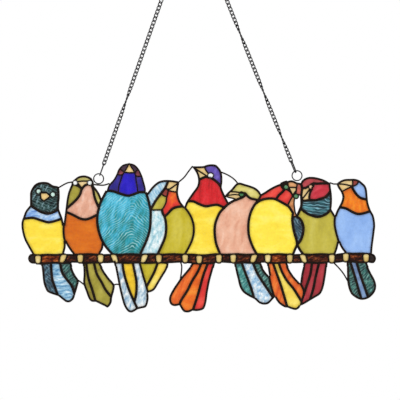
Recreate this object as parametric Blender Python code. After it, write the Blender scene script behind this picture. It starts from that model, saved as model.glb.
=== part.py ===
"""Hanging stained glass panel: nine finches on a branch, cut sheet glass held by a web of solder,
hung from two wire rings, two chains and one top ring. Metres, +Z up, front towards -Y, with the
origin at the inside top of the top ring, where a hook carries it."""
import math

import bmesh
import bpy
import numpy as np
from mathutils import Vector
from mathutils.geometry import delaunay_2d_cdt

# Driving dimensions, in millimetres.
GLASS_THICK = 3.0           # cut sheet glass
SOLDER_THICK = 5.6          # front to back over the solder beads
GAP = 0.3                   # between pieces that touch
SMALLEST_PANE = 308.0       # square millimetres; smaller panes are joined with the solder web
SMALLEST_GAP = 8.0          # square millimetres; smaller gaps are filled with solder
NARROWEST = 1.0             # glass narrower than this is covered with solder
LAP_STEP, LAPS = 0.03, 7    # the solder laps over the panes by one to seven of these steps
CURVE_STEP = 3.0            # between points along a smooth line
CHORD_ERROR = 0.48          # how far a thinned outline may leave its curve
SET_IN = (1.3, 2.0)         # outer edges are drawn round the outside of their solder: its middle
                            # lies this far in, above and below the branch
REACH = 4.0                 # how far a line's end looks for the line that it meets
CROSSING = 0.1              # how far it then runs past that line
MERGE = 0.05                # corners closer than this are one
MARGIN = 50.0               # of open space cut together with the panel
STRAIGHT = 0.99             # cosine of a bend that counts as straight
SHARP = -0.4                # cosine of a bend too sharp for a mitre

BRANCH_DROP = 614.0         # the middle of the branch below the hang point
BRANCH_HALF = 7.3           # half the branch's height
BRANCH_ENDS = (-286.5, 321.5)
FOOT_SIZE = (11.6, 15.8)    # across and along a foot that grips the branch
FOOT_ROUND = 4.6            # its corner radius
FOOT_TAPER = 0.14           # a foot is this part wider at its top and narrower at its bottom
BRANCH_WAVE = (0.45, 37.0)  # height and length of the waves in the branch's hand-cut edges
BRANCH_LAP = 3.4            # how far the branch's edges run in under a foot

TOP_RING = (11.3, 2.6)      # ring radius at the middle of its wire, and wire diameter
SIDE_RING = (8.65, 2.1)
SIDE_RING_CENTRES = ((-163.4, 139.6), (183.8, 145.0))
CHAIN_APEX = 604.0          # the top ring's centre above the middle of the branch
END_LINK = (2.7, 16.5, 2.2)    # bend radius, length between bends and wire diameter
CHAIN_BAND = (7.0, 2.4)     # width and thickness of the flat twisted chain
CHAIN_FLAT = 0.6            # part of that width that is flat between its chamfers
CHAIN_STEPS = 32            # sections along it
CHAIN_HALF_TURNS = (        # places up each chain where it turns over
    (118.0, 345.0, 430.0), (46.0, 131.0, 241.0, 340.0, 430.0))
CHAIN_TURN_RUN = 95.0       # length of chain in which it turns over
TIE_WIRE = 2.2              # diameter of the tie wires
WIRE_SIDES = 2              # bevel resolution of wires and rings, eight sides
TOP_RING_SIDES, SIDE_RING_SIDES = 24, 20

GLASS_ROUGHNESS = 0.12
SOLDER_FINISH = ((0.03, 0.028, 0.025), 0.42, 1.0)   # colour, roughness, metallic
STEEL_FINISH = ((0.05, 0.047, 0.045), 0.4, 1.0)

# The cartoon: the centre lines of the solder, drawn in millimetres for each finch. x is measured
# from the finch's perch and z from the middle of the branch. A line is its solder's width and the
# points that a smooth curve runs through; a point given twice is a sharp corner. A pane is the
# area around its mark, out to the lines.
EDGE = 4.0      # solder round the panel's outline
SEAM = 4.7      # solder between two panes
FINE = 3.4      # solder round small panes
FINCHES = (
    {
        "name": "finch1", "perch": -252, "feet": ((-17.5, -1.5, 0), (26, 0, 2.5)),
        "lines": (
            (EDGE, (-31, 93), (-31, 106), (-30.5, 116), (-24, 128), (-15, 133), (-1, 133),
             (9, 127.5), (18, 125), (20, 109), (19, 96), (19, 86)),
            (SEAM, (-31, 93), (-20, 86), (-11, 81), (0, 78.5), (9, 81), (19, 86)),
            (EDGE, (-31, 93), (-39, 82.5), (-43, 72), (-45.5, 65), (-46, 57), (-44.5, 46), (-41, 34),
             (-35, 22), (-27, 8)),
            (SEAM, (-41, 70), (-26, 71), (-11, 66.5), (1, 63.5), (13, 66), (25, 70)),
            (EDGE, (19, 86), (22, 78), (25, 70), (27.5, 58)),
            (EDGE, (29, 36), (30.5, 22), (27.5, 8)),
            (EDGE, (-12.5, -6), (-10.5, -22), (-8.5, -41), (-5, -52), (-0.5, -59), (18, -66),
             (18, -66), (26, -72.5), (32, -76.5), (38.5, -76.5), (45, -71), (47.5, -64),
             (52, -49), (54, -38.5), (49, -30.5), (44, -21), (40, -6)),
            (SEAM, (5, -6), (7.5, -36), (11.5, -48), (18, -66)),
            (SEAM, (20.5, -6), (25, -25), (32.5, -36), (41.5, -48), (47, -64)),
            (FINE, (-13.5, 115), (-2, 115), (-2, 115), (4.5, 109), (4.5, 109), (-7, 100.5),
             (-7, 100.5), (-12.5, 104.5), (-12.5, 104.5), (-13.5, 115)),
        ),
        "beads": {"eye_left": (-16.5, 117.5, 9, 9), "eye_right": (8.5, 112, 9, 9)},
        "panes": {
            "head": ("tealRipple", 0, 92), "collar": ("skyWisp", -8, 74),
            "body": ("yellow", -8, 40), "beak": ("amberPale", -5, 109),
            "tail_left": ("tealRipple", -2, -30), "tail_middle": ("iceWisp", 17, -40),
            "tail_right": ("tealRipple", 40, -32),
        },
    },
    {
        "name": "finch2", "perch": -189, "feet": ((-6.5, 0, 0), (29, 0, 0)),
        "lines": (
            (EDGE, (-22, 128), (-20.5, 134), (-15, 139.5), (-9, 143.5), (0, 145), (7, 143.5),
             (13, 140), (16.5, 133), (17, 127), (22, 120.5), (27, 112.5), (31, 102)),
            (EDGE, (-22, 128), (-24, 124), (-27.5, 114.5), (-30, 102), (-31.5, 90), (-33, 78),
             (-35.5, 57), (-35.5, 42), (-33, 30), (-25, 16), (-19, 8)),
            (FINE, (-22, 131), (-19, 132.5)),
            (FINE, (-11, 134.5), (-3, 135.5), (6, 135.5)),
            (FINE, (13, 133.5), (17, 134)),
            (FINE, (-11, 132), (-7.5, 128), (-4, 123.5)),
            (SEAM, (6.5, 130), (1, 127.5), (-4, 121), (-7, 112), (-14, 102.5), (-31.5, 86.5)),
            (FINE, (-15, 128), (-10, 126), (-5, 122)),
            (SEAM, (13, 129.5), (16, 120.5), (18, 109.5), (21.5, 99), (26, 89)),
            (SEAM, (-32.5, 82), (-20.5, 77), (-5, 69.5), (6, 69), (24, 77)),
            (EDGE, (34, 27), (32.5, 17), (27.5, 8)),
            (EDGE, (-2, -6), (-1, -27), (-1.5, -43), (3.5, -58.5), (8.5, -71), (13, -75.5),
             (20.5, -76), (20.5, -76), (36, -83.5), (41.5, -86), (48, -78), (49.5, -68),
             (53, -55), (53.5, -46), (44, -34), (35.5, -22), (27, -6)),
            (SEAM, (3.5, -6), (7.5, -33), (14.5, -55), (20.5, -75.5)),
            (SEAM, (17, -6), (22.5, -27), (30.5, -41), (38, -55), (49, -68.5)),
        ),
        "beads": {"eye_left": (-15.5, 132.5, 9, 9), "eye_right": (10, 132.5, 9, 9)},
        "panes": {
            "crown": ("olivePale", -3, 140), "cheek_left": ("olive", -18, 112),
            "cheek_right": ("olivePale", 24, 106), "throat": ("pink", -2, 95),
            "body": ("orangeBody", -5, 40), "beak": ("amberPale", -3, 130.5),
            "tail_left": ("olive", 3.5, -36), "tail_middle": ("olivePale", 15, -30),
            "tail_right": ("olive", 32, -32),
        },
    },
    {
        "name": "finch3", "perch": -112, "feet": ((-23.5, 0, -2.5), (28, 0, 2.5)),
        "lines": (
            (EDGE, (-37.5, 118.5), (-33.5, 129), (-26, 137.5), (-20.5, 147), (-16.5, 156.5),
             (-9, 164), (2, 166.5), (11, 164.5), (19, 156.5), (25, 144), (28, 134), (31, 122),
             (31, 116)),
            (SEAM, (-37.5, 118.5), (-27.5, 118), (-12, 113), (0, 110), (11.5, 113), (19.5, 116),
             (31, 116)),
            (SEAM, (-37.5, 118.5), (-41.5, 111), (-48.5, 97), (-51.5, 86), (-53.5, 75.5),
             (-53.5, 60), (-49.5, 42), (-41.5, 24.5), (-28, 8)),
            (SEAM, (31, 116), (34.5, 106), (37.5, 94), (39.5, 84), (39.5, 69.5), (38.5, 54), (35, 39),
             (29, 24), (21.5, 8)),
            (FINE, (2, 167), (-1.5, 159.5), (-6.5, 151)),
            (FINE, (2, 167), (6, 159.5), (12, 150.5)),
            (FINE, (-6.5, 151), (3, 150), (12, 150.5)),
            (FINE, (-15.5, 158), (-6.5, 151)),
            (FINE, (-6.5, 151), (-10, 146.5), (-19.5, 147)),
            (FINE, (12, 150.5), (16.5, 155), (21.5, 153)),
            (FINE, (12, 150), (13, 146), (16.5, 143.5), (25, 144.5)),
            (FINE, (-9.5, 147), (-12.5, 137.5), (-16, 126.5), (-17, 114.5)),
            (FINE, (13, 146), (14.5, 134), (16.5, 122.5), (17, 114.5)),
            (EDGE, (-24.5, -6), (-21, -23.5), (-18, -39), (-15.5, -52), (-11, -70.5), (-7, -83),
             (0, -93), (7, -94.5), (17, -89), (17, -89), (23, -87.5), (31.5, -85), (35.5, -75),
             (36, -64), (33.5, -54), (30.5, -43), (27, -32), (20, -6)),
            (SEAM, (-10, -6), (-8, -21), (-4, -37), (2.5, -56.5), (9.5, -72.5), (17, -89)),
            (SEAM, (8, -6), (11.5, -22.5), (14.5, -38.5), (15, -52), (13.5, -66), (11, -76)),
        ),
        "beads": {},
        "panes": {
            "crown_left": ("plumDark", -6, 160), "crown_right": ("plumDark", 12, 159),
            "cheek_left": ("redRose", -12.5, 151.5), "cheek_right": ("redRose", 18, 149.5),
            "face": ("cobalt", 2, 130), "neck_left": ("purple", -23, 128),
            "neck_right": ("purple", 22, 128), "body": ("turquoiseRipple", -6, 60),
            "beak": ("amberPale", 2.5, 156), "tail_left": ("iceWisp", -11, -40),
            "tail_middle": ("amber", 4, -30), "tail_right": ("iceWisp", 25, -50),
        },
    },
    {
        "name": "finch4", "perch": -35, "feet": ((-23, 0, 0), (23, 0, 0)),
        "lines": (
            (EDGE, (-44, 113), (-36, 123.5), (-29, 130.5), (-22, 135), (-12, 137), (0, 136.5),
             (12.5, 134.5)),
            (SEAM, (-6.5, 136.5), (-11.5, 124.5), (-21, 111.5), (-29, 100.5), (-37, 86.5)),
            (FINE, (-10, 122), (-4.5, 121.5), (12.5, 133.5)),
            (FINE, (-11, 124), (-7, 119.5), (0, 117.5), (9.5, 116)),
            (EDGE, (12.5, 134.5), (10.5, 122), (10, 115.5), (11.5, 107.5), (14.5, 99.5),
             (20.5, 91.5), (22.5, 89), (28, 82), (33.5, 72.5), (37.5, 59.5), (38, 46),
             (35, 32), (29.5, 20), (23, 8)),
            (FINE, (-6.5, 119), (-8, 111.5), (-9.5, 106.5), (-10.5, 98.5), (-14, 90.5),
             (-17.5, 85.5)),
            (FINE, (-19, 114), (-15.5, 110.5), (-9, 108)),
            (FINE, (-36, 85), (-26, 85), (-17.5, 85.5)),
            (SEAM, (-17.5, 85.5), (-16.5, 80), (-12.5, 71.5), (-10.5, 59.5), (-10.5, 48),
             (-13, 35), (-19, 21), (-25, 8)),
            (SEAM, (-13.5, 73), (-7, 79), (0, 86.5), (8, 90), (20.5, 91.5)),
            (SEAM, (-24.5, -6), (-31, -23.5), (-37, -35), (-44.5, -49)),
            (EDGE, (-6, -6), (-8.5, -18.5), (-15.5, -30.5), (-23, -43), (-29, -53), (-34, -57.5),
             (-41.5, -60)),
        ),
        "beads": {},
        "panes": {
            "wing_upper": ("skyWisp", -26, 122), "cheek": ("olive", -19, 97),
            "brow": ("redDark", -11.5, 115), "throat": ("flame", 2, 102),
            "wing_lower": ("iceWisp", -25, 50), "body": ("olive", 12, 45),
            "beak_upper": ("amberPale", -2, 131), "beak_lower": ("amberPale", 4, 121.5),
            "tail_left": ("olive", -42, -22), "tail_right": ("yellow", -20, -24),
        },
    },
    {
        "name": "finch5", "perch": 21, "feet": ((-8.5, -1.5, 0), (26, 0, 0)),
        "lines": (
            (EDGE, (-20.5, 161), (-9, 161), (-0.5, 161.5), (5, 163.5), (13, 164.5), (20.5, 163.5),
             (25.5, 159), (29.5, 153), (31.5, 143.5), (31.5, 133), (30.5, 124.5), (33, 117),
             (37.5, 107.5), (42.5, 98), (44.5, 95)),
            (EDGE, (-20.5, 161), (-17, 156), (-13, 149.5), (-10.5, 142), (-10, 133),
             (-12.5, 125), (-19, 116), (-26, 106), (-31, 98), (-34, 90)),
            (FINE, (0.5, 161.5), (3, 155), (7, 149.5)),
            (FINE, (-17.5, 158.5), (-5.5, 151), (6, 143.5)),
            (SEAM, (-10, 137), (-2.5, 141), (4, 143), (9, 141.5), (13, 140.5), (18, 137.5),
             (25, 131.5), (31, 123)),
            (SEAM, (-30.5, 100), (-19, 100), (-8, 95), (3, 91.5), (13, 93), (23, 94),
             (33.5, 90)),
            (EDGE, (-19, -6), (-28, -18), (-41.5, -34), (-46.5, -41.5), (-53, -51), (-60, -64),
             (-61.5, -73), (-58, -81), (-51, -83.5), (-43.5, -82), (-43.5, -82), (-36, -93),
             (-27, -94.5), (-20, -91.5), (-20, -91.5), (-11.5, -92), (-0.5, -88.5), (4, -77.5),
             (6.5, -60.5), (10.5, -39.5), (15, -23), (19.5, -6)),
            (SEAM, (-4, -6), (-11, -23), (-21, -39.5), (-29.5, -56.5), (-40, -73),
             (-43.5, -82)),
            (SEAM, (7.5, -6), (-1, -28.5), (-6.5, -48), (-12.5, -69), (-20, -91.5)),
        ),
        "beads": {"eye": (11.5, 145.5, 10.5, 9)},
        "panes": {
            "crown": ("violet", 22, 150), "breast": ("red", 8, 115), "body": ("yellow", 3, 50),
            "beak_upper": ("amberPale", -2, 155.5), "beak_lower": ("amberPale", -5.5, 145),
            "tail_left": ("orange", -38, -50), "tail_middle": ("amberRed", -17, -50),
            "tail_right": ("red", 1, -50),
        },
    },
    {
        "name": "finch6", "perch": 77, "feet": ((-5, 0, 0), (30.5, 0, 2.5)),
        "lines": (
            (EDGE, (-19.5, 109.5), (-13.5, 116), (-8, 121), (-3.5, 126.5), (1, 131), (6.5, 132.5),
             (13.5, 130.5), (23.5, 127.5), (31.5, 124.5), (37, 121), (42, 115.5),
             (43, 110.5), (40.5, 105), (37.5, 100.5)),
            (FINE, (-10, 117), (0, 116.5), (9, 115), (14.5, 115)),
            (SEAM, (13.5, 115.5), (16.5, 113.5), (19, 110.5), (25, 105.5), (33, 103.5),
             (38.5, 102)),
            (FINE, (-19.5, 109.5), (-10, 111), (-2, 112), (6, 111)),
            (FINE, (-19.5, 109.5), (-12, 106.8), (-5.5, 105.4), (1, 103.2)),
            (SEAM, (-4.5, 101), (2, 103.5), (9.5, 106.5), (14, 109), (17, 113)),
            (FINE, (9.5, 109), (9.5, 106)),
            (SEAM, (-4.5, 101), (-13, 96), (-20.5, 89), (-28, 81), (-33, 71), (-36.5, 60),
             (-37.5, 47), (-35, 27), (-28, 8)),
            (SEAM, (37.5, 100.5), (31.5, 92.5), (26, 81.5), (22.5, 68), (21.5, 53), (23, 38),
             (29, 21), (36, 8)),
            (EDGE, (-3.5, -6), (-0.5, -23), (3, -37), (5.5, -47.5), (11, -58), (21, -65.5),
             (32, -71), (32, -71), (42.5, -79.5), (55.5, -80), (66, -70)),
            (EDGE, (42.5, -6), (48, -18), (53, -25), (60, -33)),
            (SEAM, (9.5, -6), (16.5, -25.5), (22, -39.5), (27, -53.5), (32, -71)),
            (SEAM, (29, -6), (37, -25.5), (45.5, -39.5), (54, -52), (65, -69)),
        ),
        "beads": {"eye": (9.5, 112.5, 9, 9)},
        "panes": {
            "head": ("olivePale", 22, 118), "body": ("pinkBody", -5, 60),
            "beak_upper": ("amberPale", -4, 114), "beak_lower": ("amberPale", -4, 108.5),
            "tail_left": ("tealRipple", 11, -40), "tail_middle": ("skyWisp", 34, -45),
            "tail_right": ("tealRipple", 47, -28),
        },
    },
    {
        "name": "finch7", "perch": 147, "feet": ((-14.5, 0, 0), (24, 0, 0)),
        "lines": (
            (EDGE, (-29, 111), (-21.5, 115), (-9, 123), (1, 128), (7.5, 130.5), (14, 133.5),
             (21.5, 135.5), (26, 136.5), (31.5, 135.5), (36, 133), (42, 132)),
            (SEAM, (-39, 93.5), (-29.5, 100.5), (-22, 103.5), (-13, 105), (-3, 104.5),
             (4, 101.5), (14, 96), (21.5, 91.5), (27, 84), (29.5, 79.5)),
            (SEAM, (0, 103.5), (5, 111), (10.5, 116), (15, 121)),
            (SEAM, (8, 130.5), (11, 124.5), (14, 121)),
            (FINE, (18.5, 120.5), (23, 118), (27.5, 113), (28.5, 108.5), (25, 102.5),
             (20, 92)),
            (FINE, (19.5, 135), (20.5, 131), (21, 128)),
            (SEAM, (11.5, 132.5), (15.5, 126)),
            (FINE, (21, 124), (28, 124.5), (36, 124)),
            (FINE, (37.5, 133), (36, 124.5), (35, 118.5), (34.5, 112)),
            (FINE, (22.5, 124), (28, 113)),
            (FINE, (35, 119), (29, 110.5)),
            (SEAM, (43.5, 131), (45.5, 123.5), (44.5, 114), (44, 110), (44.5, 100), (44, 91.5),
             (41.5, 85), (38, 77), (36, 74)),
            (FINE, (37, 112.5), (40, 111.5), (44, 110.5)),
            (FINE, (32.5, 106), (31.5, 97), (32.5, 87), (33.5, 81), (36, 74)),
            (FINE, (36, 74), (28.5, 72)),
            (SEAM, (29.5, 79.5), (28.5, 69), (29.5, 57), (32.5, 43), (35.5, 33), (37, 24.5),
             (37, 24.5), (33, 15.5), (30, 8)),
            (SEAM, (36, 74), (43, 68), (46.5, 61), (48, 53), (46.5, 41.5), (42.5, 31),
             (37, 24.5), (37, 24.5), (41.5, 15.5), (47, 8)),
            (EDGE, (-16, -6), (-13.5, -23), (-11, -37), (-7, -54.5), (-2.5, -67.5), (4.5, -78.5),
             (15, -85.5), (20, -86), (20, -86), (28, -89), (35.5, -90), (42, -85), (45, -74),
             (48.5, -62), (48, -55), (46, -50), (41.5, -42.5), (32, -32), (23.5, -19),
             (18.5, -6)),
            (SEAM, (-6, -6), (0.5, -24.5), (7.5, -44), (12.5, -60.5), (20, -86)),
            (SEAM, (4, -6), (10.5, -23.5), (19, -38.5), (30, -52), (40, -67.5), (44.5, -75)),
        ),
        "beads": {"eye_upper": (17.5, 125, 9, 9), "eye_lower": (35, 109, 9, 9)},
        "panes": {
            "back": ("redBright", -6, 113), "face": ("redBright", 17, 107),
            "forehead": ("orangePale", 29, 130), "neck_strip": ("orangePale", 28, 95),
            "brow": ("pinkRed", 40, 120), "beak": ("amberPale", 29.5, 119),
            "body": ("yellow", -5, 50), "wing_tip": ("tealRipple", 38, 50),
            "tail_left": ("orange", 0, -48), "tail_middle": ("yellowTail", 18, -52),
            "tail_right": ("orange", 36, -48),
        },
    },
    {
        "name": "finch8", "perch": 217, "feet": ((-22, 0, -2.5), (27.5, 0, 0)),
        "lines": (
            (EDGE, (-26.5, 130.5), (-25.5, 134.5), (-22.5, 138), (-17.5, 141), (-11, 142.5), (-2, 142),
             (6.5, 140), (15, 137), (23, 132.5), (27, 131)),
            (SEAM, (-25, 123), (-18.5, 123.5), (-12, 127)),
            (SEAM, (-9.5, 129), (-4, 131.5), (1, 131), (10.5, 131.5), (24.5, 131.5)),
            (FINE, (-11, 122), (-17.5, 112.5), (-25.5, 103)),
            (FINE, (-9.5, 123), (-11, 116), (-12.5, 108.5), (-12, 102)),
            (SEAM, (-4, 131), (-6, 124.5), (-10.5, 116), (-12, 108.5), (-12, 102.5)),
            (SEAM, (-26, 103), (-20.5, 101), (-12, 102.5), (-1, 102), (7.5, 104.5), (16, 107.5),
             (21, 112.5), (26, 119)),
            (EDGE, (24.5, 132), (25.5, 123.5), (27, 113), (27.5, 103), (27, 92), (26.5, 86),
             (29.5, 81), (33.5, 74)),
            (SEAM, (-27.5, 88), (-20.5, 82), (-12, 77), (-3.5, 74), (2, 73), (10.5, 74.5),
             (19, 79), (26.5, 87)),
            (EDGE, (40, 31), (37, 17.5), (33.5, 8)),
            (EDGE, (-20.5, -6), (-25.5, -25.5), (-28, -43)),
            (SEAM, (-7, -6), (-10, -27.5), (-17, -49), (-23.5, -69)),
            (SEAM, (5.5, -6), (-1, -33), (-4.5, -51), (-11, -72.5)),
            (EDGE, (20, -6), (17.5, -28), (13, -51.5), (7.5, -62.5), (-2.5, -69), (-10, -73.5),
             (-19, -79), (-27.5, -83)),
        ),
        "beads": {"eye": (-9.5, 125.5, 7.5, 7.5)},
        "panes": {
            "crown": ("crimson", -3, 137), "cheek": ("crimsonBright", 10, 117),
            "collar": ("tealRipple", 0, 88), "body": ("olive", 0, 40),
            "beak_upper": ("amberPale", -20, 116), "beak_lower": ("amberPale", -17, 107),
            "tail_left": ("crimsonDark", -19, -30), "tail_middle": ("crimson", -8, -40),
            "tail_right": ("crimsonDark", 7, -38),
        },
    },
    {
        "name": "finch9", "perch": 287, "feet": ((-18, 2, 0), (17.5, 1, 0)),
        "lines": (
            (EDGE, (-34, 130.5), (-27.5, 135.5), (-19.5, 138.5), (-10, 139), (-2.5, 139),
             (5.5, 136.5), (11.5, 131.5), (16, 127), (18.5, 120), (19.5, 110), (21, 97.5),
             (25, 85), (30.5, 74.5), (33, 58.5), (32, 48), (30.5, 36), (28.5, 21), (27.5, 8)),
            (EDGE, (-34, 130.5), (-30.5, 123), (-26, 116.5), (-23.5, 108), (-25.5, 99),
             (-30, 90), (-34.5, 81), (-37, 72), (-37.5, 60), (-35.5, 48), (-32, 35),
             (-28.5, 24.5), (-23, 15), (-17, 8)),
            (FINE, (-34, 130.5), (-22, 130), (-8, 127)),
            (FINE, (-6, 139), (-6, 130), (-7, 126)),
            (FINE, (-26, 116.5), (-16, 122), (-7, 126)),
            (FINE, (5, 137), (1, 129.5), (-7, 126)),
            (SEAM, (-7, 126), (-6, 122.5), (1, 112), (8, 106), (20, 103)),
            (SEAM, (-30, 89.5), (-20.5, 88.5), (-12.5, 85), (-5.5, 81), (3, 78), (12.5, 79),
             (25.5, 83)),
            (EDGE, (-16, -6), (-16, -25.5), (-15, -44.5), (-9.5, -61), (0.5, -69.5),
             (10.5, -72.5), (22, -69.5), (32, -60), (35.5, -49), (33, -37.5), (25.5, -23.5),
             (18, -6)),
            (SEAM, (-10, -6), (-2.5, -30), (3, -49), (9.5, -72)),
            (SEAM, (0.5, -6), (7, -27.5), (14.5, -49), (21.5, -69)),
        ),
        "beads": {},
        "panes": {
            "forehead": ("redDark", -2, 134), "nape": ("periwinkle", 9, 120),
            "breast": ("orangeBreast", -5, 100), "body": ("periwinkle", -2, 45),
            "beak_upper": ("amberPale", -16, 134), "beak_lower": ("amberPale", -18, 125.5),
            "tail_left": ("tealRipple", -7, -45), "tail_middle": ("periwinkle", 6, -40),
            "tail_right": ("tealRipple", 22, -40),
        },
    },
)
# Tie wires, soldered across the open gaps: points measured from the hang point's plumb line
# and the middle of the branch.
TIES = (
    ((-234, 123.8), (-219, 132), (-209.5, 134)),                         # finch 1 to 2
    ((-172, 129.5), (-162, 128.5), (-154, 128.5), (-145.5, 131)),          # finch 2 to 3
    ((-22.5, 134.5), (-14, 142), (-5, 154), (0.5, 161)),                   # finch 4 to 5
    ((51.5, 151), (60, 147.5), (68, 143), (75, 137.5), (80, 131.5)),       # finch 5 to 6
    ((242, 132.5), (247.5, 130.5), (253, 130.5)),                          # finch 8 to 9
    ((-202, -36), (-193, -42.5), (-186.5, -48)),                             # tails 1 and 2
    ((-138.5, -46.5), (-132, -45), (-125, -46)),                             # tails 2 and 3
    ((-37, -5), (-28, -1), (-20, -7), (-18, -16), (-20.5, -37)),             # branch to tail 5
    ((245.5, -5), (256.5, -16), (265, -26.5), (273.5, -41)),               # branch to tail 9
)

GLASS_COLOURS = {
    "yellow": (0.98, 0.76, 0.05), "yellowTail": (0.98, 0.76, 0.05), "olive": (0.45, 0.42, 0.03),
    "olivePale": (0.55, 0.53, 0.12), "pink": (0.86, 0.45, 0.33), "pinkBody": (0.86, 0.45, 0.33),
    "orangeBody": (0.73, 0.17, 0.01), "turquoiseRipple": (0.05, 0.45, 0.60),
    "tealRipple": (0.02, 0.11, 0.12), "skyWisp": (0.35, 0.60, 0.85), "iceWisp": (0.62, 0.80, 0.88),
    "cobalt": (0.03, 0.01, 0.55), "purple": (0.07, 0.04, 0.38), "violet": (0.10, 0.06, 0.58),
    "red": (0.76, 0.01, 0.02), "redBright": (0.80, 0.03, 0.03), "redDark": (0.30, 0.02, 0.03),
    "crimson": (0.50, 0.02, 0.05), "crimsonBright": (0.65, 0.02, 0.07),
    "crimsonDark": (0.35, 0.01, 0.03), "flame": (0.85, 0.10, 0.02), "orange": (0.88, 0.14, 0.01),
    "orangePale": (0.86, 0.28, 0.06), "orangeBreast": (0.95, 0.20, 0.01),
    "amber": (0.98, 0.58, 0.02), "amberRed": (0.90, 0.30, 0.01), "amberPale": (0.87, 0.62, 0.24),
    "pinkRed": (0.65, 0.08, 0.09), "redRose": (0.55, 0.06, 0.09), "plumDark": (0.10, 0.05, 0.13),
    "periwinkle": (0.27, 0.48, 0.90), "barkBrown": (0.07, 0.02, 0.015),
}


def smooth(points, step):
    """Points about a step apart on a Catmull-Rom curve; a point given twice is a corner."""
    runs, run = [], [points[0]]
    for point in points[1:]:
        if point == run[-1]:
            runs.append(run)
            run = [point]
        else:
            run.append(point)
    runs.append(run)
    drawn = [np.array(points[0], float)]
    for run in (run for run in runs if len(run) > 1):
        knots = np.array(run, float)
        knots = np.vstack([2 * knots[0] - knots[1], knots, 2 * knots[-1] - knots[-2]])
        for before, start, end, after in zip(knots, knots[1:], knots[2:], knots[3:]):
            reach = np.linalg.norm(end - start)
            slope_in = (end - before) * reach / (np.linalg.norm(start - before) + reach)
            slope_out = (after - start) * reach / (np.linalg.norm(after - end) + reach)
            count = max(1, round(reach / step))
            for t in np.arange(1, count + 1) / count:
                drawn.append((2 * t ** 3 - 3 * t ** 2 + 1) * start
                             + (t ** 3 - 2 * t ** 2 + t) * slope_in
                             + (3 * t ** 2 - 2 * t ** 3) * end + (t ** 3 - t ** 2) * slope_out)
    return np.array(drawn)


def ellipse(x, z, width, height, count):
    """Closed line round an oval bead."""
    turn = np.linspace(0, 2 * math.pi, count + 1)
    return np.stack([x + width / 2 * np.cos(turn), z + height / 2 * np.sin(turn)], axis=1)


def foot(x, z, lean):
    """Closed line round a foot: a rounded bar across the branch, its top leaning to +X."""
    half_width, half_height = FOOT_SIZE[0] / 2, FOOT_SIZE[1] / 2
    points = []
    for corner, (side, end) in enumerate(((1, 1), (-1, 1), (-1, -1), (1, -1))):
        middle = (side * (half_width - FOOT_ROUND), end * (half_height - FOOT_ROUND))
        for turn in np.radians(90 * corner + np.array([0, 45, 90])):
            up = middle[1] + FOOT_ROUND * math.sin(turn)
            across = ((middle[0] + FOOT_ROUND * math.cos(turn))
                      * (1 + FOOT_TAPER * up / half_height))
            points.append((x + across + lean * up / half_height, z + up))
    return np.array(points + points[:1])


def branch_lines():
    """The feet, and the branch's upper and lower edge between them and round its ends."""
    feet = sorted((finch["perch"] + x, rise, lean)
                  for finch in FINCHES for x, rise, lean in finch["feet"])
    lines = [(FINE, foot(*place)) for place in feet]
    half_foot = FOOT_SIZE[0] / 2 - BRANCH_LAP
    for (left, left_rise, left_lean), (right, right_rise, right_lean) in zip(feet, feet[1:]):
        for edge in (BRANCH_HALF, -BRANCH_HALF):
            part = edge / FOOT_SIZE[1] * 2
            start = np.array([left + left_lean * part + half_foot, left_rise + edge])
            end = np.array([right + right_lean * part - half_foot, right_rise + edge])
            along = np.linspace(0, 1, max(2, round((end - start)[0] / CURVE_STEP) + 1))
            points = start + (end - start) * along[:, None]
            height, length = BRANCH_WAVE
            points[:, 1] += height * np.sin(2 * math.pi * points[:, 0] / length + edge)
            lines.append((EDGE, points))
    for end, (x, rise, _) in zip(BRANCH_ENDS, (feet[0], feet[-1])):
        side = math.copysign(1, end)
        root, height = x + side * half_foot, BRANCH_HALF
        bulge = min(height, abs(end - root)) * 0.55
        lines.append((EDGE, smooth([(root, rise + height), (end - side * bulge, height),
                                    (end, 0), (end - side * bulge, -height),
                                    (root, rise - height)], CURVE_STEP)))
    return lines


def meeting_point(end, back, segments):
    """Just past where the end of a line, run on a little, first meets one of the segments."""
    along = (end - back) / np.linalg.norm(end - back)
    start = end - REACH * along
    first, last = segments[:, :2], segments[:, 2:]
    way = last - first
    cross = along[0] * way[:, 1] - along[1] * way[:, 0]
    cross = np.where(np.abs(cross) < 1e-9, 1e-9, cross)
    offset = first - start
    distance = (offset[:, 0] * way[:, 1] - offset[:, 1] * way[:, 0]) / cross
    part = (offset[:, 0] * along[1] - offset[:, 1] * along[0]) / cross
    hit = (distance > 0) & (distance < 2 * REACH) & (part >= -0.02) & (part <= 1.02)
    if not hit.any():
        return end
    return start + along * (distance[hit][np.argmin(np.abs(distance[hit] - REACH))] + CROSSING)


def cartoon():
    """Every solder line as (width, points), measured from the plumb line and the branch."""
    lines = branch_lines()
    for finch in FINCHES:
        perch = np.array([finch["perch"], 0.0])
        for width, *points in finch["lines"]:
            lines.append((width, smooth(points, CURVE_STEP) + perch))
        for bead in finch["beads"].values():
            lines.append((FINE, ellipse(*bead, 10) + perch))
    pieces = [np.hstack([points[:-1], points[1:]]) for _, points in lines]
    for index, (_, points) in enumerate(lines):
        if np.allclose(points[0], points[-1]):
            continue
        others = np.vstack(pieces[:index] + pieces[index + 1:])
        points[0] = meeting_point(points[0], points[1], others)
        points[-1] = meeting_point(points[-1], points[-2], others)
    return lines


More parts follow.
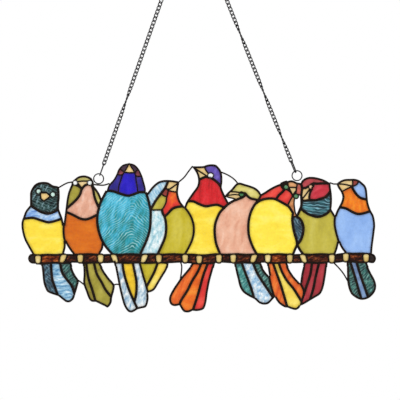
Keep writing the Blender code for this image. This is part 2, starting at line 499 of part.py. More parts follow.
def areas(lines):
    """The areas that the lines close off: the loops of (points, half width of solder inside each
    side) round each, and the marks that it holds."""
    corners, edges, halves = [], [], []
    for width, points in lines:
        first = len(corners)
        corners += [Vector(point) for point in points]
        edges += [(first + i, first + i + 1) for i in range(len(points) - 1)]
        halves += [width / 2] * (len(points) - 1)
    low, high = np.min(corners, axis=0) - MARGIN, np.max(corners, axis=0) + MARGIN
    corners += [Vector((x, z)) for x in (low[0], high[0]) for z in (low[1], high[1])]
    points, sides, triangles, _, sources, _ = delaunay_2d_cdt(corners, edges, [], 0, MERGE)
    wall = {frozenset(side): max(halves[i] for i in found)
            for side, found in zip(sides, sources) if found}
    neighbours = {}
    for index, triangle in enumerate(triangles):
        for pair in zip(triangle, triangle[1:] + triangle[:1]):
            neighbours.setdefault(frozenset(pair), []).append(index)
    area_of = {}
    for seed in range(len(triangles)):
        if seed in area_of:
            continue
        area_of[seed], stack = seed, [seed]
        while stack:
            triangle = triangles[stack.pop()]
            for pair in zip(triangle, triangle[1:] + triangle[:1]):
                side = frozenset(pair)
                for other in neighbours[side]:
                    if side not in wall and other not in area_of:
                        area_of[other] = seed
                        stack.append(other)
    spots = np.array([tuple(point) for point in points])
    loops_of = {area: closed_loops(rim, spots, wall)
                for area, rim in rims(triangles, area_of).items()}
    held = {area: [mark for mark in marks() if holds(loops, *mark[2:])]
            for area, loops in loops_of.items()}
    return [([(points, set_in(points, half, across, bool(held[area]), held))
              for points, half, across in loops], held[area])
            for area, loops in loops_of.items()]


def set_in(points, half, across, is_pane, held):
    """Half widths of solder inside each side, with an outer edge's solder moved into the pane."""
    is_open = np.array([not held.get(area) for area in across])
    deep = np.where(points[:, 1] < -2 * BRANCH_HALF, SET_IN[1], SET_IN[0])
    return half + (half == EDGE / 2) * (is_open == is_pane) * (deep if is_pane else -deep)


def rims(triangles, area_of):
    """The directed sides round each area, area on the left, as {area: {start: [(end, the area
    across)]}}."""
    side_area = {(triangle[i - 1], triangle[i]): area_of[index]
                 for index, triangle in enumerate(triangles) for i in range(3)}
    found = {}
    for (start, end), area in side_area.items():
        across = side_area.get((end, start))
        if across != area:
            found.setdefault(area, {}).setdefault(start, []).append((end, across))
    return found


def closed_loops(rim, spots, wall):
    """Follows an area's rim, area on the left, into loops of corner points, half widths and the
    areas across each side."""
    loops = []
    while rim:
        start = next(iter(rim))
        before, here, trail = None, start, []
        while True:
            ways = rim[here]
            if len(ways) > 1 and before is not None:
                back = math.atan2(*(spots[before] - spots[here])[::-1])
                ways.sort(key=lambda way: (back - math.atan2(*(spots[way[0]] - spots[here])[::-1]))
                          % (2 * math.pi))
            way, across = ways.pop(0)
            if not ways:
                del rim[here]
            trail.append((here, wall.get(frozenset((here, way)), 0.0), across))
            before, here = here, way
            if here == start:
                break
        corners, halves, areas_across = zip(*trail)
        loops.append((spots[list(corners)], np.array(halves), areas_across))
    return loops


def enclosed(points):
    """Area inside a closed loop, positive when it runs anticlockwise."""
    following = np.roll(points, -1, axis=0)
    return 0.5 * float(np.sum(points[:, 0] * following[:, 1] - following[:, 0] * points[:, 1]))


def largest(loops):
    """The loop round the outside of an area."""
    return max(loops, key=lambda loop: enclosed(loop[0]))


def inset(loop, half):
    """The loop moved to its left by each side's half width, without the parts that turn over."""
    way = np.roll(loop, -1, axis=0) - loop
    length = np.linalg.norm(way, axis=1)
    keep = length > 1e-6
    loop, half, way = loop[keep], half[keep], way[keep] / length[keep, None]
    normal = np.stack([-way[:, 1], way[:, 0]], axis=1)
    before, depth = np.roll(normal, 1, axis=0), np.roll(half, 1)
    bend = (before * normal).sum(1)
    folded = (before[:, 0] * normal[:, 1] - before[:, 1] * normal[:, 0]) * half > 0
    mitred = (depth == half) & ((bend > STRAIGHT) | ~folded & (bend > SHARP))
    moved = []
    for corner, at in enumerate(loop):
        if mitred[corner]:
            moved.append(at + (before[corner] + normal[corner]) * half[corner] / (1 + bend[corner]))
            continue
        moved.append(at + before[corner] * depth[corner])
        if folded[corner]:
            moved.append(at)
        moved.append(at + normal[corner] * half[corner])
    sides = [(i, (i + 1) % len(moved)) for i in range(len(moved))]
    spots, _, triangles, _, _, _ = delaunay_2d_cdt([Vector(point) for point in moved], sides, [],
                                                   0, 1e-4)
    spots = np.array([tuple(point) for point in spots])
    middles = spots[np.array(triangles)].mean(axis=1)
    kept = rims(triangles, winding(middles, np.array(moved)) > 0).get(True)
    return largest(closed_loops(kept, spots, {}))[0] if kept else np.zeros((0, 2))


def winding(points, loop):
    """How many times the loop runs round each point, anticlockwise."""
    start, end = loop[None], np.roll(loop, -1, axis=0)[None]
    point = points[:, None]
    left = ((end - start)[..., 0] * (point - start)[..., 1]
            - (end - start)[..., 1] * (point - start)[..., 0])
    below, above = start[..., 1] <= point[..., 1], end[..., 1] <= point[..., 1]
    return (below & ~above & (left > 0)).sum(1) - (~below & above & (left < 0)).sum(1)


def thinned(points):
    """Drops the points that lie within the chord error of the outline without them."""
    far = int(np.argmax(np.linalg.norm(points - points[0], axis=1)))
    closed = np.vstack([points, points[:1]])
    keep, stack = {0, far, len(points)}, [(0, far), (far, len(points))]
    while stack:
        first, last = stack.pop()
        if last - first < 2:
            continue
        way = closed[last] - closed[first]
        offset = closed[first + 1:last] - closed[first]
        away = np.abs(way[0] * offset[:, 1] - way[1] * offset[:, 0]) / np.linalg.norm(way)
        if away.max() > CHORD_ERROR:
            middle = first + 1 + int(np.argmax(away))
            keep.add(middle)
            stack += [(first, middle), (middle, last)]
    return closed[sorted(keep - {len(points)})]


def finish_material(name, colour, roughness, metallic=0.0):
    """A Principled material, made once and shared by name."""
    material = bpy.data.materials.get(name)
    if material is None:
        material = bpy.data.materials.new(name)
        material.use_nodes = True
        shader = material.node_tree.nodes["Principled BSDF"]
        shader.inputs["Base Color"].default_value = (*colour, 1)
        shader.inputs["Roughness"].default_value = roughness
        shader.inputs["Metallic"].default_value = metallic
    return material


def add_object(name, data, material, collection):
    """Puts a curve or mesh in the collection under its name."""
    thing = bpy.data.objects.new(name, data)
    data.materials.append(material)
    collection.objects.link(thing)
    return thing


def flat_shape(name, loops, thickness, material, collection):
    """A flat outline with holes, upright in the XZ plane, thickness across Y."""
    curve = bpy.data.curves.new(name, "CURVE")
    curve.dimensions = "2D"
    curve.fill_mode = "BOTH"
    curve.extrude = thickness / 2 * 0.001
    for loop in loops:
        spline = curve.splines.new("POLY")
        spline.points.add(len(loop) - 1)
        spline.use_cyclic_u = True
        for point, (x, z) in zip(spline.points, loop):
            point.co = (x * 0.001, z * 0.001, 0, 1)
    thing = add_object(name, curve, material, collection)
    thing.rotation_euler = (math.pi / 2, 0, 0)
    thing.location = (0, 0, -BRANCH_DROP * 0.001)
    return thing


def wire(name, points, diameter, closed, material, collection):
    """A round wire through world points given in millimetres."""
    curve = bpy.data.curves.new(name, "CURVE")
    curve.dimensions = "3D"
    curve.bevel_depth = diameter / 2 * 0.001
    curve.bevel_resolution = WIRE_SIDES
    curve.use_fill_caps = not closed
    spline = curve.splines.new("POLY")
    spline.points.add(len(points) - 1)
    spline.use_cyclic_u = closed
    for point, place in zip(spline.points, points):
        point.co = (*(value * 0.001 for value in place), 1)
    return add_object(name, curve, material, collection)


def as_mesh(thing):
    """Swaps a curve object for the welded mesh of the same shape."""
    bpy.context.view_layer.update()
    evaluated = thing.evaluated_get(bpy.context.evaluated_depsgraph_get())
    mesh = bpy.data.meshes.new_from_object(evaluated)
    work = bmesh.new()
    work.from_mesh(mesh)
    bmesh.ops.remove_doubles(work, verts=work.verts, dist=1e-6)
    work.to_mesh(mesh)
    work.free()
    name, place, collection = thing.name, thing.matrix_world.copy(), thing.users_collection[0]
    bpy.data.objects.remove(thing)
    solid = bpy.data.objects.new(name, mesh)
    solid.matrix_world = place
    collection.objects.link(solid)
    return solid


def ring_points(x, z, radius, count):
    """Points round a ring in the panel's own plane."""
    turns = np.linspace(0, 2 * math.pi, count, endpoint=False)
    return [(x + radius * math.cos(turn), 0, z + radius * math.sin(turn)) for turn in turns]


def end_link(name, centre, apex, material, collection):
    """A long wire link through a hanging ring, standing across the panel along the chain."""
    bend, length, diameter = END_LINK
    way = (apex - centre).normalized()
    lowest = SIDE_RING[0] - SIDE_RING[1] / 2 - GAP - diameter / 2
    across, points = Vector((0, 1, 0)), []
    for top, first in ((0, 180), (1, 0)):
        middle = centre + way * (lowest + bend + top * length)
        for turn in np.radians(first + np.linspace(0, 180, 5)):
            points.append(middle + across * bend * math.cos(turn) + way * bend * math.sin(turn))
    wire(name, points, diameter, True, material, collection)
    return centre + way * (lowest + 2 * bend + length + diameter / 2)


def chain_turn(along, half_turns):
    """How far a chain is turned at a distance along it: half a turn, eased, at each place."""
    eased = np.clip((along - np.array(half_turns)) / CHAIN_TURN_RUN + 0.5, 0, 1)
    return math.pi * float((eased * eased * (3 - 2 * eased)).sum())


def chain_band(name, start, end, half_turns, material, collection):
    """The outer shape of a flat curb chain: a flat bar with chamfered edges, turned over in places."""
    way = end - start
    length = way.length
    way.normalize()
    across = Vector((0, 1, 0))
    beside = across.cross(way)
    half_width, half_thick = CHAIN_BAND[0] / 2, CHAIN_BAND[1] / 2
    half_flat = half_width * CHAIN_FLAT
    section = ((half_width, 0), (half_flat, half_thick), (-half_flat, half_thick),
               (-half_width, 0), (-half_flat, -half_thick), (half_flat, -half_thick))
    work = bmesh.new()
    rings = []
    for step in range(CHAIN_STEPS + 1):
        turn = chain_turn(length * 1000 * step / CHAIN_STEPS, half_turns)
        middle = start + way * length * step / CHAIN_STEPS
        wide = beside * math.cos(turn) + across * math.sin(turn)
        thin = across * math.cos(turn) - beside * math.sin(turn)
        rings.append([work.verts.new(middle + (wide * u + thin * v) * 0.001) for u, v in section])
    for lower, upper in zip(rings, rings[1:]):
        for i in range(len(section)):
            j = (i + 1) % len(section)
            work.faces.new((lower[i], lower[j], upper[j], upper[i]))
    work.faces.new(rings[0])
    work.faces.new(rings[-1])
    bmesh.ops.recalc_face_normals(work, faces=work.faces)
    mesh = bpy.data.meshes.new(name)
    work.to_mesh(mesh)
    work.free()
    add_object(name, mesh, material, collection)


def marks():
    """Every pane's name, glass and a point inside it."""
    found = []
    for finch in FINCHES:
        for name, (glass, x, z) in finch["panes"].items():
            found.append((f"{finch['name']}_{name}", glass, finch["perch"] + x, z))
        for name, (x, z, _, _) in finch["beads"].items():
            found.append((f"{finch['name']}_{name}", "bead", finch["perch"] + x, z))
    feet = sorted((finch["perch"] + x, rise) for finch in FINCHES for x, rise, _ in finch["feet"])
    places = [BRANCH_ENDS[0] + 3] + [x for x, _ in feet] + [BRANCH_ENDS[1] - 3]
    for index, (x, rise) in enumerate(feet):
        found.append((f"foot_{index + 1:02}", "amberPale", x, rise))
    for index, (left, right) in enumerate(zip(places, places[1:])):
        middle = left if index == 0 else right if right == places[-1] else (left + right) / 2
        found.append((f"branch_{index + 1:02}", "barkBrown", middle, 0))
    return found


def holds(loops, x, z):
    """Whether a point lies in the area that the loops close off."""
    crossings = 0
    for points, *_ in loops:
        following = np.roll(points, -1, axis=0)
        spans = (points[:, 1] > z) != (following[:, 1] > z)
        rise = np.where(spans, following[:, 1] - points[:, 1], 1.0)
        at = points[:, 0] + (z - points[:, 1]) / rise * (following[:, 0] - points[:, 0])
        crossings += int(np.sum(spans & (at > x)))
    return crossings % 2 == 1


def build_panel(panel, ties, solder):
    """One solid for each pane that is large enough, and the solder web around them."""
    *closed, (surroundings, _) = sorted(areas(cartoon()),
                                        key=lambda area: enclosed(largest(area[0])[0]))
    outside, half = min(surroundings, key=lambda loop: enclosed(loop[0]))
    web_loops = [thinned(inset(outside[::-1], -np.roll(half[::-1], -1)))]
    for index, (loops, named) in enumerate(closed):
        rim, half = largest(loops)
        opening = inset(rim, half + NARROWEST / 2 + LAP_STEP * (1 + index % LAPS))
        if len(opening) > 2:
            opening = inset(opening, np.full(len(opening), -NARROWEST / 2))
        if len(opening) > 2 and enclosed(opening) > (SMALLEST_PANE if named else SMALLEST_GAP):
            opening = thinned(opening)
            web_loops.append(opening)
            for name, glass, _, _ in named:
                material = finish_material(glass, GLASS_COLOURS[glass], GLASS_ROUGHNESS)
                pane = inset(opening, np.full(len(opening), GAP))
                flat_shape(name, [pane], GLASS_THICK, material, panel)
    web = as_mesh(flat_shape("solder_web", web_loops, SOLDER_THICK, solder, panel))
    for index, points in enumerate(TIES):
        places = [(x, 0, z - BRANCH_DROP) for x, z in smooth(points, 2 * CURVE_STEP)]
        tie = as_mesh(wire(f"tie_{index + 1}", places, TIE_WIRE, False, solder, ties))
        tie.hide_render = True
        tie.display_type = "WIRE"
        join = web.modifiers.new(tie.name, "BOOLEAN")
        join.operation = "UNION"
        join.object = tie


def build_hanging(panel, steel):
    """Side rings, end links, chains and the top ring."""
    apex = Vector((0, 0, CHAIN_APEX - BRANCH_DROP))
    radius, diameter = TOP_RING
    around = ring_points(0, CHAIN_APEX - BRANCH_DROP, radius, TOP_RING_SIDES)
    wire("top_ring", around, diameter, True, steel, panel)
    for side, (x, z), half_turns in zip(("left", "right"), SIDE_RING_CENTRES, CHAIN_HALF_TURNS):
        centre = Vector((x, 0, z - BRANCH_DROP))
        around = ring_points(x, z - BRANCH_DROP, SIDE_RING[0], SIDE_RING_SIDES)
        wire(f"ring_{side}", around, SIDE_RING[1], True, steel, panel)
        top = end_link(f"end_link_{side}", centre, apex, steel, panel)
        way = (apex - centre).normalized()
        start = (top + way * GAP) * 0.001
        end = (apex - way * (radius + diameter / 2 + GAP)) * 0.001
        chain_band(f"chain_{side}", start, end, half_turns, steel, panel)


def main():
    for thing in list(bpy.data.objects):
        bpy.data.objects.remove(thing)
    panel = bpy.data.collections.new("StainedGlassPanel")
    ties = bpy.data.collections.new("TieWires")
    for collection in (panel, ties):
        bpy.context.scene.collection.children.link(collection)
    solder = finish_material("BlackSolder", *SOLDER_FINISH)
    steel = finish_material("DarkSteel", *STEEL_FINISH)
    build_panel(panel, ties, solder)
    build_hanging(panel, steel)


main()
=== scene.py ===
import math

import bpy
import numpy as np
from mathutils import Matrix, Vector
from mathutils.geometry import delaunay_2d_cdt


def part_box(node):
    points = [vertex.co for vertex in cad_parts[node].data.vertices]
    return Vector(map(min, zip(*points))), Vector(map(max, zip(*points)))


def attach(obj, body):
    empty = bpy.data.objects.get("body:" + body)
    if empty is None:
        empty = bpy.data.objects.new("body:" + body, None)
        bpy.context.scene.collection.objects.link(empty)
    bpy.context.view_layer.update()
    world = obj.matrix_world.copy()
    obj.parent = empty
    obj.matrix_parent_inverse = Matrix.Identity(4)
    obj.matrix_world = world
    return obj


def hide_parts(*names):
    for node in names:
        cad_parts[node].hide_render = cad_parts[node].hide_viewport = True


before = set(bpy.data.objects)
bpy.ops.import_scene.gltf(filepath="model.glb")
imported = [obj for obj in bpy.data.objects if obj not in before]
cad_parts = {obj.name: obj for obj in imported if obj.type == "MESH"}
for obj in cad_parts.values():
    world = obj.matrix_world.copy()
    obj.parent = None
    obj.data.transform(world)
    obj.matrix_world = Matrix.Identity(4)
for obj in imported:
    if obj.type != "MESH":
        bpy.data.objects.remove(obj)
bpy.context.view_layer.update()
print("frame loaded")

# The cartoon: the centre lines of the solder, drawn in millimetres for each finch. x is measured
# from the finch's perch and z from the middle of the branch. A line is its solder's width and the
# points that a smooth curve runs through; a point given twice is a sharp corner. A pane is its
# glass and a mark: it is the area around the mark, out to the lines. A foot is its place, its rise
# and how far its top leans. A bead is an eye: its place, width and height.
edge = 3.8      # solder round the panel's outline
slimEdge = 3.0  # and where it is drawn out thin
seam = 4.5      # solder between two panes
fine = 2.7      # solder round small panes
hair = 2.2      # fine seams within a head
eyeRim = 1.8    # solder round the eyes
finches = {}
finches["finch1"] = {"perch": -252, "feet": ((-17.5, -1.5, 0), (26, 0, 2.5)), "lines": (
    (edge, (-31, 93), (-31, 106), (-30.5, 116), (-24, 128), (-15, 133), (-1, 133), (9, 127.5),
     (18, 125), (20, 109), (19, 96), (19, 86)),
    (seam, (-31, 93), (-20, 86), (-11, 81), (0, 78.5), (9, 81), (19, 86)),
    (edge, (-31, 93), (-39, 82.5), (-43, 72), (-45.5, 65), (-46, 57), (-44.5, 46), (-41, 34),
     (-35, 22), (-27, 8)),
    (seam, (-41, 70), (-26, 71), (-11, 66.5), (1, 63.5), (13, 66), (25, 70)),
    (edge, (19, 86), (22, 78), (25, 70), (27.5, 58)),
    (edge, (29, 36), (30.5, 22), (27.5, 8)),
    (edge, (-12.5, -6), (-10.5, -22), (-8.5, -41), (-5, -52), (-0.5, -59), (18, -66), (18, -66),
     (26, -72.5), (32, -76.5), (38.5, -76.5), (45, -71), (47.5, -64), (52, -49), (54, -38.5),
     (49, -30.5), (44, -21), (40, -6)),
    (seam, (5, -6), (7.5, -36), (11.5, -48), (18, -66)),
    (seam, (20.5, -6), (25, -25), (32.5, -36), (41.5, -48), (47, -64)),
    (fine, (-13.5, 115), (-2, 115), (-2, 115), (4.5, 109), (4.5, 109), (-7, 100.5), (-7, 100.5),
     (-12.5, 104.5), (-12.5, 104.5), (-13.5, 115)),
), "beads": {"eye_left": (-16.5, 117.5, 9, 9), "eye_right": (8.5, 112, 9, 9)}, "panes": {
    "head": ("tealHead", 0, 92), "collar": ("skyCollar", -8, 74), "body": ("yellowWarm", -8, 40),
    "beak": ("amberPale", -5, 109), "tail_left": ("tealSlate", -2, -30),
    "tail_middle": ("iceRipple", 17, -40), "tail_right": ("tealRipple", 40, -32),
}}
finches["finch2"] = {"perch": -189, "feet": ((-6.5, 0, 0), (29, 0, 0)), "lines": (
    (edge, (-22, 128), (-20.5, 134), (-15, 139.5), (-9, 143.5), (0, 145), (7, 143.5), (13, 140),
     (16.5, 133), (17, 127), (22, 120.5), (27, 112.5), (31, 102)),
    (edge, (-22, 128), (-24, 124), (-27.5, 114.5), (-30, 102), (-31.5, 90), (-33, 78), (-35.5, 57),
     (-35.5, 42), (-33, 30), (-25, 16), (-19, 8)),
    (fine, (-22, 131), (-19, 132.5)),
    (fine, (-11, 134.5), (-3, 135.5), (6, 135.5)),
    (fine, (13, 133.5), (17, 134)),
    (fine, (-11, 132), (-7.5, 128), (-4, 123.5)),
    (seam, (6.5, 130), (1, 127.5), (-4, 121), (-7, 112), (-14, 102.5), (-31.5, 86.5)),
    (fine, (-15, 128), (-10, 126), (-5, 122)),
    (seam, (13, 129.5), (16, 120.5), (18, 109.5), (21.5, 99), (26, 89)),
    (seam, (-32.5, 82), (-20.5, 77), (-5, 69.5), (6, 69), (24, 77)),
    (edge, (34, 27), (32.5, 17), (27.5, 8)),
    (edge, (-2, -6), (-1, -27), (-1.5, -43), (3.5, -58.5), (8.5, -71), (13, -75.5), (20.5, -76),
     (20.5, -76), (36, -83.5), (41.5, -86), (48, -78), (49.5, -68), (53, -55), (53.5, -46),
     (44, -34), (35.5, -22), (27, -6)),
    (seam, (3.5, -6), (7.5, -33), (14.5, -55), (20.5, -75.5)),
    (seam, (17, -6), (22.5, -27), (30.5, -41), (38, -55), (49, -68.5)),
), "beads": {"eye_left": (-15.5, 132.5, 9, 9), "eye_right": (10, 132.5, 9, 9)}, "panes": {
    "crown": ("olivePale", -3, 140), "cheek_left": ("oliveTail", -18, 112),
    "cheek_right": ("olivePale", 24, 106), "throat": ("pink", -2, 95),
    "body": ("orangeBody", -5, 40), "beak": ("amberPale", -3, 130.5),
    "tail_left": ("oliveTail", 3.5, -36), "tail_middle": ("oliveTail", 15, -30),
    "tail_right": ("oliveTail", 32, -32),
}}
finches["finch3"] = {"perch": -112, "feet": ((-23.5, 0, -2.5), (28, 0, 2.5)), "lines": (
    (slimEdge, (-37.5, 118.5), (-33.5, 129), (-26, 137.5), (-20.5, 147), (-16.5, 156.5), (-9, 164),
     (2, 166.5), (11, 164.5), (19, 156.5), (25, 144), (28, 134), (31, 122), (31, 116)),
    (seam, (-37.5, 118.5), (-27.5, 118), (-12, 113), (0, 110), (11.5, 113), (19.5, 116), (31, 116)),
    (seam, (-37.5, 118.5), (-41.5, 111), (-48.5, 97), (-51.5, 86), (-53.5, 75.5), (-53.5, 60),
     (-49.5, 42), (-41.5, 24.5), (-28, 8)),
    (seam, (31, 116), (34.5, 106), (37.5, 94), (39.5, 84), (39.5, 69.5), (38.5, 54), (35, 39),
     (29, 24), (21.5, 8)),
    (hair, (2, 167), (-1.5, 159.5), (-6.5, 151)),
    (hair, (2, 167), (6, 159.5), (12, 150.5)),
    (fine, (-6.5, 151), (3, 150), (12, 150.5)),
    (hair, (-15.5, 158), (-6.5, 151)),
    (hair, (-6.5, 151), (-10, 146.5), (-19.5, 147)),
    (hair, (12, 150.5), (16.5, 155), (21.5, 153)),
    (hair, (12, 150), (13, 146), (16.5, 143.5), (25, 144.5)),
    (hair, (-9.5, 147), (-12.5, 137.5), (-16, 126.5), (-17, 114.5)),
    (hair, (13, 146), (14.5, 134), (16.5, 122.5), (17, 114.5)),
    (edge, (-24.5, -6), (-21, -23.5), (-18, -39), (-15.5, -52), (-11, -70.5), (-7, -83), (0, -93),
     (7, -94.5), (17, -89), (17, -89), (23, -87.5), (31.5, -85), (35.5, -75), (36, -64),
     (33.5, -54), (30.5, -43), (27, -32), (20, -6)),
    (seam, (-10, -6), (-8, -21), (-4, -37), (2.5, -56.5), (9.5, -72.5), (17, -89)),
    (seam, (8, -6), (11.5, -22.5), (14.5, -38.5), (15, -52), (13.5, -66), (11, -76)),
), "panes": {
    "crown_left": ("plumDark", -6, 160), "crown_right": ("plumDark", 12, 159),
    "cheek_left": ("redRose", -12.5, 151.5), "cheek_right": ("redRose", 18, 149.5),
    "face": ("cobalt", 2, 130), "neck_left": ("purple", -23, 128),
    "neck_right": ("purple", 22, 128), "body": ("turquoiseRipple", -6, 60),
    "beak": ("amberPale", 2.5, 156), "tail_left": ("iceStreak", -11, -40),
    "tail_middle": ("amber", 4, -30), "tail_right": ("iceStreak", 25, -50),
}}
finches["finch4"] = {"perch": -35, "feet": ((-23, 0, 0), (23, 0, 0)), "lines": (
    (edge, (-44, 113), (-36, 123.5), (-29, 130.5), (-22, 135), (-12, 137), (0, 136.5),
     (12.5, 134.5)),
    (seam, (-6.5, 136.5), (-11.5, 124.5), (-21, 111.5), (-29, 100.5), (-37, 86.5)),
    (fine, (-10, 122), (-4.5, 121.5), (12.5, 133.5)),
    (fine, (-11, 124), (-7, 119.5), (0, 117.5), (9.5, 116)),
    (edge, (12.5, 134.5), (10.5, 122), (10, 115.5), (11.5, 107.5), (14.5, 99.5), (20.5, 91.5),
     (22.5, 89), (28, 82), (33.5, 72.5), (37.5, 59.5), (38, 46), (35, 32), (29.5, 20), (23, 8)),
    (fine, (-6.5, 119), (-8, 111.5), (-9.5, 106.5), (-10.5, 98.5), (-14, 90.5), (-17.5, 85.5)),
    (fine, (-19, 114), (-15.5, 110.5), (-9, 108)),
    (fine, (-36, 85), (-26, 85), (-17.5, 85.5)),
    (seam, (-17.5, 85.5), (-16.5, 80), (-12.5, 71.5), (-10.5, 59.5), (-10.5, 48), (-13, 35),
     (-19, 21), (-25, 8)),
    (seam, (-13.5, 73), (-7, 79), (0, 86.5), (8, 90), (20.5, 91.5)),
    (seam, (-24.5, -6), (-31, -23.5), (-37, -35), (-44.5, -49)),
    (edge, (-6, -6), (-8.5, -18.5), (-15.5, -30.5), (-23, -43), (-29, -53), (-34, -57.5),
     (-41.5, -60)),
), "panes": {
    "wing_upper": ("skyWisp", -26, 122), "cheek": ("olive", -19, 97),
    "brow": ("redDark", -11.5, 115), "throat": ("flame", 2, 102),
    "wing_lower": ("iceWisp", -25, 50), "body": ("oliveWarm", 12, 45),
    "beak_upper": ("amberPale", -2, 131), "beak_lower": ("amberPale", 4, 121.5),
    "tail_left": ("oliveWarm", -42, -22), "tail_right": ("yellowTail", -20, -24),
}}
finches["finch5"] = {"perch": 21, "feet": ((-8.5, -1.5, 0), (26, 0, 0)), "lines": (
    (edge, (-20.5, 161), (-9, 161), (-0.5, 161.5), (5, 163.5), (13, 164.5), (20.5, 163.5),
     (25.5, 159), (29.5, 153), (31.5, 143.5), (31.5, 133), (30.5, 124.5), (33, 117), (37.5, 107.5),
     (42.5, 98), (44.5, 95)),
    (edge, (-20.5, 161), (-17, 156), (-13, 149.5), (-10.5, 142), (-10, 133), (-12.5, 125),
     (-19, 116), (-26, 106), (-31, 98), (-34, 90)),
    (fine, (0.5, 161.5), (3, 155), (7, 149.5)),
    (fine, (-17.5, 158.5), (-5.5, 151), (6, 143.5)),
    (seam, (-10, 137), (-2.5, 141), (4, 143), (9, 141.5), (13, 140.5), (18, 137.5), (25, 131.5),
     (31, 123)),
    (seam, (-30.5, 100), (-19, 100), (-8, 95), (3, 91.5), (13, 93), (23, 94), (33.5, 90)),
    (edge, (-19, -6), (-28, -18), (-41.5, -34), (-46.5, -41.5), (-53, -51), (-60, -64),
     (-61.5, -73), (-58, -81), (-51, -83.5), (-43.5, -82), (-43.5, -82), (-36, -93), (-27, -94.5),
     (-20, -91.5), (-20, -91.5), (-11.5, -92), (-0.5, -88.5), (4, -77.5), (6.5, -60.5),
     (10.5, -39.5), (15, -23), (19.5, -6)),
    (seam, (-4, -6), (-11, -23), (-21, -39.5), (-29.5, -56.5), (-40, -73), (-43.5, -82)),
    (seam, (7.5, -6), (-1, -28.5), (-6.5, -48), (-12.5, -69), (-20, -91.5)),
), "beads": {"eye": (11.5, 145.5, 10.5, 9)}, "panes": {
    "crown": ("violet", 22, 150), "breast": ("red", 8, 115), "body": ("yellowWarm", 3, 50),
    "beak_upper": ("amberPale", -2, 155.5), "beak_lower": ("amberPale", -5.5, 145),
    "tail_left": ("orange", -38, -50), "tail_middle": ("amberRed", -17, -50),
    "tail_right": ("redBright", 1, -50),
}}
finches["finch6"] = {"perch": 77, "feet": ((-5, 0, 0), (30.5, 0, 2.5)), "lines": (
    (edge, (-19.5, 109.5), (-13.5, 116), (-8, 121), (-3.5, 126.5), (1, 131), (6.5, 132.5),
     (13.5, 130.5), (23.5, 127.5), (31.5, 124.5), (37, 121), (42, 115.5), (43, 110.5), (40.5, 105),
     (37.5, 100.5)),
    (fine, (-10, 117), (0, 116.5), (9, 115), (14.5, 115)),
    (seam, (13.5, 115.5), (16.5, 113.5), (19, 110.5), (25, 105.5), (33, 103.5), (38.5, 102)),
    (hair, (-19.5, 109.5), (-10, 111), (-2, 112), (6, 111)),
    (fine, (-19.5, 109.5), (-12, 106.8), (-5.5, 105.4), (1, 103.2)),
    (seam, (-4.5, 101), (2, 103.5), (9.5, 106.5), (14, 109), (17, 113)),
    (fine, (9.5, 109), (9.5, 106)),
    (seam, (-4.5, 101), (-13, 96), (-20.5, 89), (-28, 81), (-33, 71), (-36.5, 60), (-37.5, 47),
     (-35, 27), (-28, 8)),
    (seam, (37.5, 100.5), (31.5, 92.5), (26, 81.5), (22.5, 68), (21.5, 53), (23, 38), (29, 21),
     (36, 8)),
    (edge, (-3.5, -6), (-0.5, -23), (3, -37), (5.5, -47.5), (11, -58), (21, -65.5), (32, -71),
     (32, -71), (42.5, -79.5), (55.5, -80), (66, -70)),
    (edge, (42.5, -6), (48, -18), (53, -25), (60, -33)),
    (seam, (9.5, -6), (16.5, -25.5), (22, -39.5), (27, -53.5), (32, -71)),
    (seam, (29, -6), (37, -25.5), (45.5, -39.5), (54, -52), (65, -69)),
), "beads": {"eye": (9.5, 112.5, 9, 9)}, "panes": {
    "head": ("olivePale", 22, 118), "body": ("pinkBody", -5, 60),
    "beak_upper": ("amberPale", -4, 114), "beak_lower": ("amberPale", -4, 108.5),
    "tail_left": ("tealGreen", 11, -40), "tail_middle": ("skySpeckle", 34, -45),
    "tail_right": ("tealRipple", 47, -28),
}}
